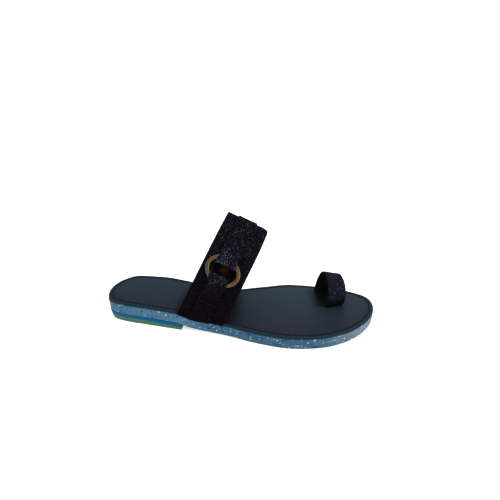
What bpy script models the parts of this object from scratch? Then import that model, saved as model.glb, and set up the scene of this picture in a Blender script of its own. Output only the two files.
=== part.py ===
"""Right-foot slide sandal: a layered flat sole, a wide instep band with a brass ring, and a big-toe loop.

Sizes are millimetres and angles degrees; the meshes are written in metres. A point is given by its
distance from the back of the heel (x), its distance from the foot's axis (y, inner side positive) and its
height over the floor (z). In the finished model +X points to the toe, +Y to the inner side, +Z up, and the
origin lies on the floor below the middle of the sole.
"""

from collections import namedtuple

import bmesh
import bpy
import numpy as np

MM = 0.001
LENGTH = 250.0
GAP = 0.3

# Sole layers
SOLE_THICKNESS = 9.9
SOLE_UNDERCUT = 0.6
TOE_THINNING = 0.8
TOE_THINS_FROM = 215.0
FOOTBED_THICKNESS = 1.8
FOOTBED_INSET = 0.2
HEEL_FRONT = 78.8
TOP_PIECE_LEVEL = 45.0
TOP_PIECE_BACK = 5.4
TOP_PIECE_FRONT = 3.7
LIFT_INSET = 0.5
TOP_PIECE_INSET = 1.0
TOP_PIECE_TAPER = 1.2

# Fabric walls: the outer face bends round the footbed's edge and runs back under it
BAND_WALL = 1.4
STRAP_WALL = 1.1
LOOP_WALL = 2.0
BAND_PROUD = 0.6
BAND_TUCK = 12.0
STRAP_TUCK = 9.0
LOOP_TUCK = 9.0

# Folds at the footbed's edge: the tuck's depth below the sole's upper face, and the bend's middle above it
Fold = namedtuple("Fold", "depth rise")
BAND_FOLD = Fold(0.2, 1.7)
LOOP_FOLD = Fold(2.0, 0.6)

# Ring and the strips that hold it
RING_HALF_LENGTH = 14.8
RING_HALF_WIDTH = 11.4
RING_ROLL = 10.0
RING_BAR_WIDTH = 3.4
RING_BAR_THICKNESS = 2.0
RING_BAR_ROUNDING = 0.75
RING_SHARE = 0.284
STRAP_MIDDLE = 0.465
STRAP_SHARE = 0.46
SLOT_HALF = 4.3
RETURN_END = 15.0
STRAP_LANDING = (15.5, 25.0)
SQUARE_REACH = (20.0, 44.0)

# Toe loop
LOOP_WIDTH = 17.2
LOOP_NEAR = (214.5, 5.0)
LOOP_FAR = (204.4, 38.5)
LOOP_LEAN = 4.5
LOOP_BACK_HEIGHT = 33.0
LOOP_FRONT_HEIGHT = 27.4

# Mesh fineness
SOLE_ROWS = 44
SOLE_COLUMNS = 8
HEEL_ROWS = 16
HEEL_COLUMNS = 6
ARCH_POINTS = 30
CORNER_POINTS = 5
TUCK_POINTS = 2
BAND_COLUMNS = 5
STRAP_COLUMNS = 3
CLIMB_STEPS = 8
FOLD_STEPS = 8
RETURN_STEPS = 4
LOOP_COLUMNS = 4
RING_STEPS = 44
RING_CORNER_STEPS = 3
WELD_DISTANCE = 0.001
SHARP_ANGLE = 40.0

# Half widths of the sole on each side of the foot's axis
PlanRow = namedtuple("PlanRow", "from_heel inner outer")
SOLE_PLAN = (
    PlanRow(0.0, 0.0, 0.0),
    PlanRow(6.0, 19.4, 18.9),
    PlanRow(20.0, 29.8, 25.2),
    PlanRow(45.0, 30.4, 29.2),
    PlanRow(80.0, 24.4, 34.4),
    PlanRow(115.0, 25.6, 37.4),
    PlanRow(145.0, 35.8, 45.2),
    PlanRow(175.0, 43.6, 50.0),
    PlanRow(200.0, 42.2, 46.9),
    PlanRow(222.0, 35.9, 38.8),
    PlanRow(238.0, 26.1, 26.8),
    PlanRow(247.0, 14.8, 13.8),
    PlanRow(LENGTH, 0.0, 0.0),
)

# Height of the sole's underside: raised over the heel block, flat at the ball, sprung at the toe
SideRow = namedtuple("SideRow", "from_heel height")
SOLE_SIDE = (
    SideRow(0.0, 8.9),
    SideRow(25.0, 8.8),
    SideRow(50.0, 8.4),
    SideRow(71.0, 8.0),
    SideRow(84.0, 4.8),
    SideRow(100.0, 2.4),
    SideRow(130.0, 0.5),
    SideRow(150.0, 0.0),
    SideRow(195.0, 0.0),
    SideRow(212.0, 0.7),
    SideRow(230.0, 2.8),
    SideRow(LENGTH, 7.0),
)

# Cross section of the instep: shares of the base width and of the height, from the outer to the inner side
SectionRow = namedtuple("SectionRow", "across up")
INSTEP_SECTION = (
    SectionRow(0.00, 0.00),
    SectionRow(0.06, 0.16),
    SectionRow(0.145, 0.34),
    SectionRow(0.285, 0.56),
    SectionRow(0.46, 0.77),
    SectionRow(0.66, 0.93),
    SectionRow(0.86, 1.00),
    SectionRow(1.02, 0.945),
    SectionRow(1.10, 0.80),
    SectionRow(1.12, 0.58),
    SectionRow(1.075, 0.28),
    SectionRow(1.00, 0.00),
)

# Cross section of the toe loop, from its leg between the toes to its leg at the inner edge
TOE_SECTION = (
    SectionRow(0.00, 0.00),
    SectionRow(-0.10, 0.22),
    SectionRow(-0.14, 0.48),
    SectionRow(-0.06, 0.76),
    SectionRow(0.12, 0.94),
    SectionRow(0.38, 1.00),
    SectionRow(0.62, 0.89),
    SectionRow(0.80, 0.66),
    SectionRow(0.93, 0.36),
    SectionRow(1.00, 0.00),
)

# The band's back and front edges: where each meets the sole on both sides, its forward lean and its height
EdgeRow = namedtuple("EdgeRow", "outer_x inner_x lean height")
BAND_BACK = EdgeRow(73.7, 78.7, 23.9, 90.5)
BAND_FRONT = EdgeRow(115.4, 117.7, 25.8, 78.3)

Finish = namedtuple("Finish", "name colour roughness metallic")
SPECKLED_FOAM = Finish("speckled foam", "#4B738C", 0.75, 0.0)
BLUE_LIFT = Finish("deep blue foam", "#15506F", 0.7, 0.0)
GREEN_RUBBER = Finish("sea green rubber", "#3B6F76", 0.6, 0.0)
SLATE_BOARD = Finish("slate leather board", "#2C323B", 0.55, 0.0)
BAND_FABRIC = Finish("dark woven fabric", "#0C0B12", 0.8, 0.0)
STRIP_FABRIC = Finish("dark woven strip", "#0E0D15", 0.8, 0.0)
LOOP_FABRIC = Finish("dark woven loop", "#0D0C13", 0.8, 0.0)
BRASS = Finish("brass", "#9A7A3A", 0.3, 1.0)


def linear_colour(hex_colour):
    """Turn an sRGB hex colour into linear red, green, blue and a full alpha."""
    values = np.array([int(hex_colour[i:i + 2], 16) for i in (1, 3, 5)]) / 255.0
    linear = np.where(values <= 0.04045, values / 12.92, ((values + 0.055) / 1.055) ** 2.4)
    return (*linear, 1.0)


def material(finish):
    """One Principled material with the finish's colour, roughness and metallic value."""
    made = bpy.data.materials.new(finish.name)
    made.use_nodes = True
    shader = made.node_tree.nodes["Principled BSDF"]
    shader.inputs["Base Color"].default_value = linear_colour(finish.colour)
    shader.inputs["Roughness"].default_value = finish.roughness
    shader.inputs["Metallic"].default_value = finish.metallic
    return made


def curve_through(x, rows, key, value):
    """Smooth curve through a table's points that never swings past them (cubic with limited slopes)."""
    xs = np.array([getattr(row, key) for row in rows], float)
    ys = np.array([getattr(row, value) for row in rows], float)
    return limited_cubic(x, xs, ys)


def limited_cubic(x, xs, ys):
    """Cubic pieces through (xs, ys); a slope is zero at a peak and limited beside a flatter stretch."""
    step = np.diff(xs)
    secant = np.diff(ys) / step
    slope = np.gradient(ys, xs)
    turning = secant[:-1] * secant[1:] <= 0.0
    limit = 3.0 * np.minimum(np.abs(secant[:-1]), np.abs(secant[1:]))
    slope[1:-1] = np.where(turning, 0.0, np.clip(slope[1:-1], -limit, limit))
    i = np.clip(np.searchsorted(xs, x, side="right") - 1, 0, len(step) - 1)
    t = (x - xs[i]) / step[i]
    rise = ys[i] * (1 + 2 * t) * (1 - t) ** 2 + ys[i + 1] * t ** 2 * (3 - 2 * t)
    return rise + step[i] * (slope[i] * t * (1 - t) ** 2 - slope[i + 1] * t ** 2 * (1 - t))


def unit(vectors):
    """Vectors scaled to length one."""
    return vectors / np.linalg.norm(vectors, axis=-1, keepdims=True)


def smooth_step(x, start, end):
    """Ease from 0 at start to 1 at end."""
    t = np.clip((x - start) / (end - start), 0.0, 1.0)
    return t * t * (3.0 - 2.0 * t)


def turn_of(from_heel):
    """Angle whose cosine places a point along the sole, so that round ends stay round."""
    return np.arccos(np.clip(1.0 - 2.0 * np.asarray(from_heel, float) / LENGTH, -1.0, 1.0))


def half_width(from_heel, side):
    """Distance from the foot's axis to the sole's edge on the inner or outer side."""
    turns = turn_of([row.from_heel for row in SOLE_PLAN])
    widths = np.array([getattr(row, side) for row in SOLE_PLAN])
    return limited_cubic(turn_of(from_heel), turns, widths)


def top_piece_top(from_heel):
    """Height of the rubber top piece: level under the heel, then thinner towards its front."""
    return np.interp(from_heel, [TOP_PIECE_LEVEL, HEEL_FRONT], [TOP_PIECE_BACK, TOP_PIECE_FRONT])


def underside(from_heel):
    """Height of the foam sole's underside over the floor."""
    return curve_through(np.clip(from_heel, 0.0, LENGTH), SOLE_SIDE, "from_heel", "height")


def sole_top(from_heel):
    """Height of the foam sole's upper face; the sole is a little thinner at the toe."""
    thinned = TOE_THINNING * smooth_step(from_heel, TOE_THINS_FROM, LENGTH)
    return underside(from_heel) + SOLE_THICKNESS - thinned


def plan_edges(inset, end=LENGTH, rows=SOLE_ROWS):
    """Outer and inner edge of the sole in plan, moved inwards by inset, from the heel's back to end."""
    along = LENGTH * (1.0 - np.cos(np.linspace(0.0, turn_of(end), rows + 1))) / 2.0
    outer = offset_edge(np.stack([along, -half_width(along, "outer")], axis=1), -inset)
    inner = offset_edge(np.stack([along, half_width(along, "inner")], axis=1), inset)
    if end < LENGTH:
        outer[-1, 0] = inner[-1, 0] = end
    return outer, inner


def offset_edge(edge, inset):
    """Move a plan curve sideways by inset; at the heel's and toe's tips it moves straight along the foot."""
    if not inset:
        return edge
    tangent = np.gradient(edge, axis=0)
    tips = np.isclose(edge[:, 1], 0.0)
    tangent[tips] = [[0.0, np.sign(inset) * np.sign(LENGTH / 2.0 - x)] for x in edge[tips, 0]]
    return edge + inset * unit(np.stack([tangent[:, 1], -tangent[:, 0]], axis=1))


def plan_grid(edges, columns):
    """Grid of plan points across the sole between its two edges."""
    outer, inner = edges
    share = np.linspace(0.0, 1.0, columns + 1)[None, :, None]
    return outer[:, None] * (1.0 - share) + inner[:, None] * share


def raised(plan, height):
    """Lift a plan grid to a height that is a function of the distance from the heel."""
    return np.concatenate([plan, height(plan[..., :1])], axis=2)


def grid_faces(shape, start=0):
    """Two triangles for each cell of a grid of points numbered row by row."""
    index = start + np.arange(shape[0] * shape[1]).reshape(shape)
    a, b, c, d = index[:-1, :-1], index[1:, :-1], index[1:, 1:], index[:-1, 1:]
    return np.concatenate([np.stack(corner, axis=-1).reshape(-1, 3) for corner in ((a, b, c), (a, c, d))])


def rim_faces(shape):
    """Triangles joining the borders of two equal grids, the second numbered after the first."""
    index = np.arange(shape[0] * shape[1]).reshape(shape)
    border = np.concatenate([index[:-1, 0], index[-1, :-1], index[:0:-1, -1], index[0, :0:-1]])
    ahead = np.roll(border, -1)
    below = shape[0] * shape[1]
    return np.concatenate([np.stack([border, ahead, ahead + below], axis=1),
                           np.stack([border, ahead + below, border + below], axis=1)])


def solid_between(name, first, second, finish):
    """Closed solid between two equal grids of points, joined round their borders."""
    shape = first.shape[:2]
    points = np.concatenate([first.reshape(-1, 3), second.reshape(-1, 3)])
    back = grid_faces(shape, start=len(points) // 2)[:, ::-1]
    faces = np.concatenate([grid_faces(shape), back, rim_faces(shape)])
    return solid(name, points, faces, finish)


def solid(name, points, faces, finish):
    """Object from points and triangles; points that coincide at the sole's tips are merged."""
    mesh = bpy.data.meshes.new(name)
    axis_y = (max(row.outer for row in SOLE_PLAN) - max(row.inner for row in SOLE_PLAN)) / 2.0
    placed = (points + [-LENGTH / 2.0, axis_y, 0.0]) * MM
    mesh.from_pydata(placed.tolist(), [], faces.tolist())
    welded = bmesh.new()
    welded.from_mesh(mesh)
    bmesh.ops.remove_doubles(welded, verts=welded.verts, dist=WELD_DISTANCE * MM)
    bmesh.ops.recalc_face_normals(welded, faces=welded.faces)
    welded.to_mesh(mesh)
    welded.free()
    mesh.shade_smooth()
    mesh.set_sharp_from_angle(angle=np.radians(SHARP_ANGLE))
    mesh.materials.append(material(finish))
    made = bpy.data.objects.new(name, mesh)
    bpy.context.collection.objects.link(made)
    return made


def cut(target, cutter):
    """Take a cutter's shape out of a piece and keep the cutter as a hidden guide."""
    recess = target.modifiers.new(cutter.name, "BOOLEAN")
    recess.operation = "DIFFERENCE"
    recess.solver = "EXACT"
    recess.object = cutter
    cutter.hide_render = True
    cutter.display_type = "WIRE"


def sheet_normals(points):
    """Unit normals of a grid of surface points, from its two directions."""
    along = np.gradient(points, axis=0)
    across = np.gradient(points, axis=1)
    return unit(np.cross(across, along))


def sheet(name, outer, wall, finish, clearance=0.0):
    """Wall of fabric below an outer surface; a clearance swells both faces for a cutter."""
    normal = sheet_normals(outer)
    return solid_between(name, outer + clearance * normal, outer - (wall + clearance) * normal, finish)


def section_curve(section, count):
    """Evenly spaced points of a cross section, as shares of its width and height."""
    rows = np.array(section)
    length = np.concatenate([[0.0], np.cumsum(np.hypot(*np.diff(rows, axis=0).T))])
    fine = np.linspace(0.0, length[-1], count + 1)
    return np.stack([limited_cubic(fine, length, rows[:, k]) for k in (0, 1)], axis=1)


def lasted_foot(tuck, fold, slant):
    """One foot of a lasted strip, from its tucked end: a flat run, then an arc up to the arch's slant."""
    radius = fold.depth + fold.rise
    angle = np.linspace(-np.pi / 2.0, -np.pi - slant, CORNER_POINTS + 1)
    corner = np.stack([radius * (1.0 + np.cos(angle)), fold.rise + radius * np.sin(angle)], axis=1)
    inwards = np.linspace(tuck, radius, TUCK_POINTS + 1)[:-1]
    run = np.stack([inwards, np.full(TUCK_POINTS, -fold.depth)], axis=1)
    return np.concatenate([run, corner])


def lasted_path(section, width, height, tuck, fold):
    """Outer face of a lasted strip in its own plane: tuck, rounded corner, arch, corner and tuck.

    The first column runs across from the outer base, the second up from the sole's upper face. The tucks lie
    below that face by the fold's depth, and each corner is an arc whose radius is the depth plus the rise.
    """
    rows = np.array(section) * [width, height]
    slants = [np.arctan2(*(rows[1] - rows[0])), np.arctan2(*((rows[-2] - rows[-1]) * [-1.0, 1.0]))]
    near, far = (lasted_foot(tuck, fold, slant) for slant in slants)
    far = far[::-1] * [-1.0, 1.0] + [width, 0.0]
    share = section_curve(section, ARCH_POINTS)
    base = near[-1] + share[:, :1] * (far[0] - near[-1])
    arch = base + share[:, 1:] * [0.0, height - fold.rise]
    return np.concatenate([near, arch[1:-1], far])


def placed_path(path, outer_base, inner_base, lean):
    """Stand a strip's path between its two base points, its height leaning forward."""
    base = np.array(inner_base) - np.array(outer_base)
    up = np.array([np.sin(np.radians(lean)), 0.0, np.cos(np.radians(lean))])
    share = path[:, :1] / np.linalg.norm(base)
    return np.array(outer_base) + share * base + path[:, 1:] * up


def band_line(share, tuck):
    """One line round the instep band's outer face, share 0 at its back edge and 1 at its front edge."""
    outer_x, inner_x, lean, height = (
        back + share * (front - back) for back, front in zip(BAND_BACK, BAND_FRONT)
    )
    outer_base = (outer_x, -half_width(outer_x, "outer") - BAND_PROUD, sole_top(outer_x))
    inner_base = (inner_x, half_width(inner_x, "inner") + BAND_PROUD, sole_top(inner_x))
    width = np.linalg.norm(np.subtract(inner_base, outer_base))
    path = lasted_path(INSTEP_SECTION, width, height, tuck + BAND_PROUD, BAND_FOLD)
    return placed_path(path, outer_base, inner_base, lean)


def band_surface(shares, tuck=BAND_TUCK):
    """Grid of points on the instep band's outer face, rows round the foot's girth, columns along the foot."""
    return np.stack([band_line(share, tuck) for share in shares], axis=1)


def edge_shares(columns, low=0.0, high=1.0, clearance=0.0):
    """Even shares of the band's width, widened at both edges by a clearance."""
    spare = clearance / (BAND_FRONT.outer_x - BAND_BACK.outer_x)
    return np.linspace(low - spare, high + spare, columns + 1)


def instep_band(name, clearance=0.0):
    """The wide band over the instep, open in front and behind, lasted under the footbed on both sides."""
    outer = band_surface(edge_shares(BAND_COLUMNS, clearance=clearance), tuck=BAND_TUCK + clearance)
    return sheet(name, outer, BAND_WALL, BAND_FABRIC, clearance)


def girth_of(surface):
    """Length along each column of a surface grid, from its first line to every line."""
    steps = np.linalg.norm(np.diff(surface, axis=0), axis=2)
    return np.concatenate([np.zeros((1, steps.shape[1])), np.cumsum(steps, axis=0)])


def at_girth(values, girth, wanted):
    """Read a grid of vectors at the wanted lengths along each of its columns."""
    return np.stack([
        np.stack([np.interp(wanted[:, j], girth[:, j], values[:, j, k]) for k in range(3)], axis=1)
        for j in range(values.shape[1])
    ], axis=1)


def ring_seat():
    """Middle of the ring's seat on the band's outer face, its outward normal and the strip's direction."""
    half = STRAP_SHARE / 2.0
    surface = band_surface(STRAP_MIDDLE + np.array([-half, 0.0, half]))
    girth = girth_of(surface)
    middle = RING_SHARE * girth[-1:]
    seat = at_girth(surface, girth, middle)[0, 1]
    normal = unit(at_girth(sheet_normals(surface), girth, middle)[0, 1])
    ends = at_girth(surface, girth, middle + [[-SLOT_HALF], [SLOT_HALF]])[:, 1]
    return seat, normal, unit(ends[1] - ends[0])


def ring_strap(name, side, clearance=0.0):
    """Strip from the ring to one side: it hugs the band, climbs the ring's bar, folds and runs back below.

    side is 1 for the strip that goes over the top to the inner side and -1 for the one to the outer side.
    Near the ring both layers run parallel to the ring's plane and the fold is square to the strip; beyond it
    the outer layer eases down to the band.
    """
    lift = GAP + STRAP_WALL
    half = STRAP_SHARE / 2.0
    shares = edge_shares(STRAP_COLUMNS, STRAP_MIDDLE - half, STRAP_MIDDLE + half, clearance)
    band = band_surface(shares, STRAP_TUCK + clearance)
    surface = band + lift * sheet_normals(band)
    girth = girth_of(surface)
    seat, normal, along = ring_seat()
    wall = slice(TUCK_POINTS + CORNER_POINTS, TUCK_POINTS + CORNER_POINTS + ARCH_POINTS // 2)
    centre = np.array([np.interp(0.0, (surface[wall, j] - seat) @ along, girth[wall, j])
                       for j in range(len(shares))])

    distance = (girth.mean(axis=1) - centre.mean()) * side
    far = np.flatnonzero(distance > STRAP_LANDING[1])
    far = far[np.argsort(-distance[far])]
    top = 2.0 * lift + RING_BAR_THICKNESS + GAP
    fold = (top - GAP) / 2.0
    angle = np.radians(np.linspace(90.0, -90.0, FOLD_STEPS + 1))
    climb = np.linspace(STRAP_LANDING[1], SLOT_HALF + fold, CLIMB_STEPS, endpoint=False)
    turn = SLOT_HALF + fold - fold * np.cos(angle)
    back = np.linspace(SLOT_HALF + fold, RETURN_END, RETURN_STEPS + 1)[1:]
    away = np.concatenate([distance[far], climb, turn, back])
    ridge = len(far) + len(climb)
    level = np.full(len(away), top)
    level[ridge:] = GAP
    level[ridge:ridge + len(turn)] += fold + fold * np.sin(angle)
    hugs = smooth_step(away, *STRAP_LANDING)
    hugs[ridge:] = 0.0

    wanted = centre + side * away[:, None]
    own_line = smooth_step(distance[far], *SQUARE_REACH)[:, None]
    wanted[:len(far)] += own_line * (girth[far] - wanted[:len(far)])
    points = at_girth(surface, girth, wanted)
    outward = unit(at_girth(sheet_normals(surface), girth, wanted))
    rise = (level[:, None] - (points - seat) @ normal) / (outward @ normal)
    outer = points + ((1.0 - hugs[:, None]) * rise)[..., None] * outward
    return sheet(name, outer[::-side], STRAP_WALL, STRIP_FABRIC, clearance)


def ring(name):
    """Flat oval brass ring: a bar with rounded edges carried round an ellipse in the plane of its seat.

    The ellipse is longest across the strip, rolled a little in its plane, and the bar stays square to it.
    """
    seat, normal, along = ring_seat()
    centre = seat + normal * (2.0 * GAP + STRAP_WALL + RING_BAR_THICKNESS / 2.0)
    aside = np.cross(normal, along)
    roll = np.radians(RING_ROLL)
    long_way = np.cos(roll) * aside + np.sin(roll) * along
    short_way = np.cos(roll) * along - np.sin(roll) * aside
    turn = np.linspace(0.0, 2.0 * np.pi, RING_STEPS + 1)[:, None]
    path = centre + RING_HALF_LENGTH * np.cos(turn) * long_way + RING_HALF_WIDTH * np.sin(turn) * short_way
    outward = unit(RING_HALF_WIDTH * np.cos(turn) * long_way + RING_HALF_LENGTH * np.sin(turn) * short_way)
    flat_width = RING_BAR_WIDTH / 2.0 - RING_BAR_ROUNDING
    flat_height = RING_BAR_THICKNESS / 2.0 - RING_BAR_ROUNDING
    profile = []
    for side, level, start in ((1, 1, 0), (-1, 1, 90), (-1, -1, 180), (1, -1, 270)):
        angle = np.radians(np.linspace(start, start + 90.0, RING_CORNER_STEPS))
        profile.append(np.stack([side * flat_width + RING_BAR_ROUNDING * np.cos(angle),
                                 level * flat_height + RING_BAR_ROUNDING * np.sin(angle)], axis=1))
    profile = np.concatenate(profile)
    points = path[:, None] + profile[:, :1] * outward[:, None] + profile[:, 1:] * normal
    points = np.concatenate([points, points[:, :1]], axis=1)
    return solid(name, points.reshape(-1, 3), grid_faces(points.shape[:2]), BRASS)


def toe_loop(name, clearance=0.0):
    """Loop for the big toe: an arch whose two legs pass down through the footbed and turn under it."""
    base = np.subtract(LOOP_FAR, LOOP_NEAR)
    forward = np.array([base[1], -base[0]]) / np.hypot(*base)
    lines = []
    for shift in np.linspace(-LOOP_WIDTH / 2.0 - clearance, LOOP_WIDTH / 2.0 + clearance, LOOP_COLUMNS + 1):
        near, far = LOOP_NEAR + shift * forward, LOOP_FAR + shift * forward
        share = shift / LOOP_WIDTH + 0.5
        height = LOOP_BACK_HEIGHT + share * (LOOP_FRONT_HEIGHT - LOOP_BACK_HEIGHT)
        path = lasted_path(TOE_SECTION, np.hypot(*base), height, LOOP_TUCK + clearance, LOOP_FOLD)
        lines.append(placed_path(path, (*near, sole_top(near[0])), (*far, sole_top(far[0])), LOOP_LEAN))
    return sheet(name, np.stack(lines, axis=1), LOOP_WALL, LOOP_FABRIC, clearance)


def sole_slab(name, bottom_inset, top_inset, bottom, top, finish):
    """Layer of the sole over its whole plan, between two heights."""
    lower = raised(plan_grid(plan_edges(bottom_inset), SOLE_COLUMNS), bottom)
    upper = raised(plan_grid(plan_edges(top_inset), SOLE_COLUMNS), top)
    return solid_between(name, upper, lower, finish)


def heel_slab(name, bottom_inset, top_inset, bottom, top, finish):
    """Layer of the heel block, from the heel's back to the square front of the block."""
    lower = raised(plan_grid(plan_edges(bottom_inset, HEEL_FRONT, HEEL_ROWS), HEEL_COLUMNS), bottom)
    upper = raised(plan_grid(plan_edges(top_inset, HEEL_FRONT, HEEL_ROWS), HEEL_COLUMNS), top)
    return solid_between(name, upper, lower, finish)


def build():
    """Make every piece, then cut the slots and recesses that the fabric needs in the footbed and sole."""
    for old in list(bpy.data.objects):
        bpy.data.objects.remove(old, do_unlink=True)

    heel_slab("heel_top_piece", TOP_PIECE_INSET + TOP_PIECE_TAPER, TOP_PIECE_INSET, np.zeros_like,
              top_piece_top, GREEN_RUBBER)
    heel_slab("heel_lift", TOP_PIECE_INSET, LIFT_INSET, lambda x: top_piece_top(x) + GAP,
              lambda x: underside(x) - GAP, BLUE_LIFT)
    outsole = sole_slab("outsole", SOLE_UNDERCUT, 0.0, underside, sole_top, SPECKLED_FOAM)
    footbed = sole_slab("footbed", FOOTBED_INSET, FOOTBED_INSET, lambda x: sole_top(x) + GAP,
                        lambda x: sole_top(x) + GAP + FOOTBED_THICKNESS, SLATE_BOARD)

    instep_band("instep_band")
    ring_strap("ring_strap_upper", 1)
    ring_strap("ring_strap_lower", -1)
    ring("ring")
    toe_loop("toe_loop")

    band_recess = instep_band("band_recess", GAP)
    loop_recess = toe_loop("loop_recess", GAP)
    upper_recess = ring_strap("upper_strap_recess", 1, GAP)
    lower_recess = ring_strap("lower_strap_recess", -1, GAP)
    for recess in (band_recess, loop_recess, upper_recess, lower_recess):
        cut(outsole, recess)
    for recess in (band_recess, loop_recess):
        cut(footbed, recess)


build()
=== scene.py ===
"""Looks of a right-foot slide sandal with a toe loop, laid out as a Blender add-on.

Sizes in the tables are millimetres and angles degrees. A point is given by its distance from the back of the
heel (x), from the foot's axis (y, inner side positive) and from the floor (z), and goes into the meshes in
metres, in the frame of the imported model: +X to the toe, +Y to the inner side, +Z up.
"""
from collections import namedtuple

import bmesh
import bpy
import numpy as np
from bpy.props import FloatProperty, FloatVectorProperty, PointerProperty
from mathutils import Matrix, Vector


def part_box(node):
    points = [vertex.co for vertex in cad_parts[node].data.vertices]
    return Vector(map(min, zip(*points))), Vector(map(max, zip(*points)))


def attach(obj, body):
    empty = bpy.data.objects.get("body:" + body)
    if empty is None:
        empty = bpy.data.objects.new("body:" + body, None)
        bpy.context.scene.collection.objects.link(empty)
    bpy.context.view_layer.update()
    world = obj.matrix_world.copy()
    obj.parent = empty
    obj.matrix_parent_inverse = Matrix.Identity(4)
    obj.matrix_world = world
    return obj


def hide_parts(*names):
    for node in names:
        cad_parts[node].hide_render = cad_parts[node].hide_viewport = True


bl_info = {
    "name": "Toe-loop slide sandal",
    "version": (1, 0, 0),
    "blender": (4, 5, 0),
    "location": "View3D > Sidebar > Sandal",
    "description": "Builds the visible pieces of a right-foot slide sandal round its fixed frame",
    "category": "Add Mesh",
}

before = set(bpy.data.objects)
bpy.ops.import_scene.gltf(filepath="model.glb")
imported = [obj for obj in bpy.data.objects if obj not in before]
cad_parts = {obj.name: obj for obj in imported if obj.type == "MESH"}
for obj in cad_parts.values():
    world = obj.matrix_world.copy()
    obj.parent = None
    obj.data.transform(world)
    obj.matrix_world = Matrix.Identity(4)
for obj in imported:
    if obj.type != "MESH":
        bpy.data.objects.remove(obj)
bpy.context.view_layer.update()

MM = 0.001
LENGTH = (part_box("outsole")[1].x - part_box("outsole")[0].x) / MM
GAP = 0.3

# Sole layers
SOLE_THICKNESS = 9.9
SOLE_UNDERCUT = 0.6
SOLE_UPPER_EDGE = 0.3
TOE_THINNING = 0.8
TOE_THINS_FROM = 215.0
FOOTBED_THICKNESS = 1.8
FOOTBED_INSET = 0.2
FOOTBED_LOWER_EDGE = 0.3
HEEL_FRONT = 78.8
HEEL_UPPER_EDGE = 0.2
LIFT_INSET = 0.5
LIFT_LOWER_EDGE = 0.2
TOP_PIECE_LEVEL = 45.0
TOP_PIECE_BACK = 5.4
TOP_PIECE_FRONT = 3.7
TOP_PIECE_INSET = 1.0
TOP_PIECE_TAPER = 1.2
TOP_PIECE_LOWER_EDGE = 0.5

# Fabric walls, lasted round the footbed's edge and tucked under it
BAND_WALL = 1.4
STRAP_WALL = 1.1
LOOP_WALL = 2.0
BAND_PROUD = 0.6
BAND_TUCK = 12.0
STRAP_TUCK = 9.0
LOOP_TUCK = 9.0
SEAT = 0.12
STRAP_SKIVE = 0.8
SKIVED_BELOW = 12.0

# Folds at the footbed's edge: the tuck's depth below the sole's upper face, and the bend's middle above it
Fold = namedtuple("Fold", "depth rise")
BAND_FOLD = Fold(0.2, 1.7)
LOOP_FOLD = Fold(2.0, 0.6)

# Recesses for the tucked fabric: the distances from its sides and ends over which they run out
Span = namedtuple("Span", "start end")
POCKET_SIDE = Span(GAP, GAP + 0.7)
POCKET_END = Span(0.6, 2.0)
LOOP_POCKET = Span(LOOP_TUCK, LOOP_TUCK + 5.0)

# Marks in the footbed: a dimple round the loop's legs, the dyed edge, the border and the groove's painted
# shade
LOOP_DIMPLE = Span(0.4, 2.0)
DIMPLE_DEPTH = 0.15
# The dyed edge is darker than its dye alone, as painted shade from the gap under the board
EDGE_DYE_AND_SHADE = Span(0.4, 0.9)
BORDER_EASE = 0.2
GROOVE_PAINTED_SHADE = 0.85

# The footbed's painted shade below and beside the straps: how far it reaches past their edges, and how dark
# it is
BAND_SHADE_BACK = Span(0.0, 8.0)
BAND_SHADE_FRONT = Span(-2.0, 22.0)
BAND_SHADE_SLANT = 8.0
BAND_SHADE = 0.9
LOOP_SHADE_SIDE = Span(-4.0, 3.0)
LOOP_SHADE_BACK = Span(-2.0, 14.0)
LOOP_SHADE_FRONT = Span(-3.0, 6.0)
LOOP_SHADE = 0.95

# Ring and the strips that hold it
RING_HALF_LENGTH = 14.8
RING_HALF_WIDTH = 11.4
RING_ROLL = 10.0
RING_BAR_WIDTH = 3.4
RING_BAR_THICKNESS = 2.0
RING_BAR_SQUARENESS = 0.65
RING_SHARE = 0.284
STRAP_MIDDLE = 0.465
STRAP_SHARE = 0.46
STRAP_EDGES = (STRAP_MIDDLE - STRAP_SHARE / 2.0, STRAP_MIDDLE + STRAP_SHARE / 2.0)
SLOT_HALF = 4.3
RETURN_END = 15.0
STRAP_LANDING = (15.5, 25.0)
SQUARE_REACH = (20.0, 44.0)

# Toe loop
LOOP_WIDTH = 17.2
LOOP_NEAR = np.array([214.5, 5.0])
LOOP_FAR = np.array([204.4, 38.5])
LOOP_SPAN = np.hypot(*(LOOP_FAR - LOOP_NEAR))
LOOP_ACROSS = (LOOP_FAR - LOOP_NEAR) / LOOP_SPAN
LOOP_FORWARD = np.array([LOOP_ACROSS[1], -LOOP_ACROSS[0]])
LOOP_LEAN = 4.5
LOOP_BACK_HEIGHT = 33.0
LOOP_FRONT_HEIGHT = 27.4

# Stitches: how far a thread's ends dip and its middle stands up, in shares of its half thickness, and the
# step along the stitch line that gives its direction
STITCH_DIP = 1.6
STITCH_RISE = 0.35
STITCH_AHEAD = 0.5

# Mesh fineness
SOLE_SAMPLES = 500
SOLE_SPINE = (14.0, 236.0)
SOLE_SPINE_RINGS = 12
SOLE_REACH = BAND_TUCK + 3.0
BOARD_SPINE_RINGS = 30
BOARD_REACH = 8.0
BOARD_INSETS = (1.0, 1.4, 5.2, 6.2, 7.1)
GROOVE_RINGS = 13
HEEL_SAMPLES = 90
HEEL_FRONT_SAMPLES = 60
HEEL_SPINE = (12.0, HEEL_FRONT - 12.0)
HEEL_SPINE_RINGS = 6
HEEL_REACH = 8.0
HEEL_INSETS = (0.6, 1.0, 3.0)
ROUND_STEPS = 5
SIDE_STEPS = 4
ARCH_POINTS = 360
CORNER_POINTS = 12
TUCK_POINTS = 4
BAND_COLUMNS = 64
STRAP_COLUMNS = 32
LOOP_COLUMNS = 30
EDGE_STEPS = 8
CLIMB_STEPS = 40
FOLD_STEPS = 16
RETURN_STEPS = 12
RING_STEPS = 160
RING_PROFILE_STEPS = 40
STITCH_STEPS = 9
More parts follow.
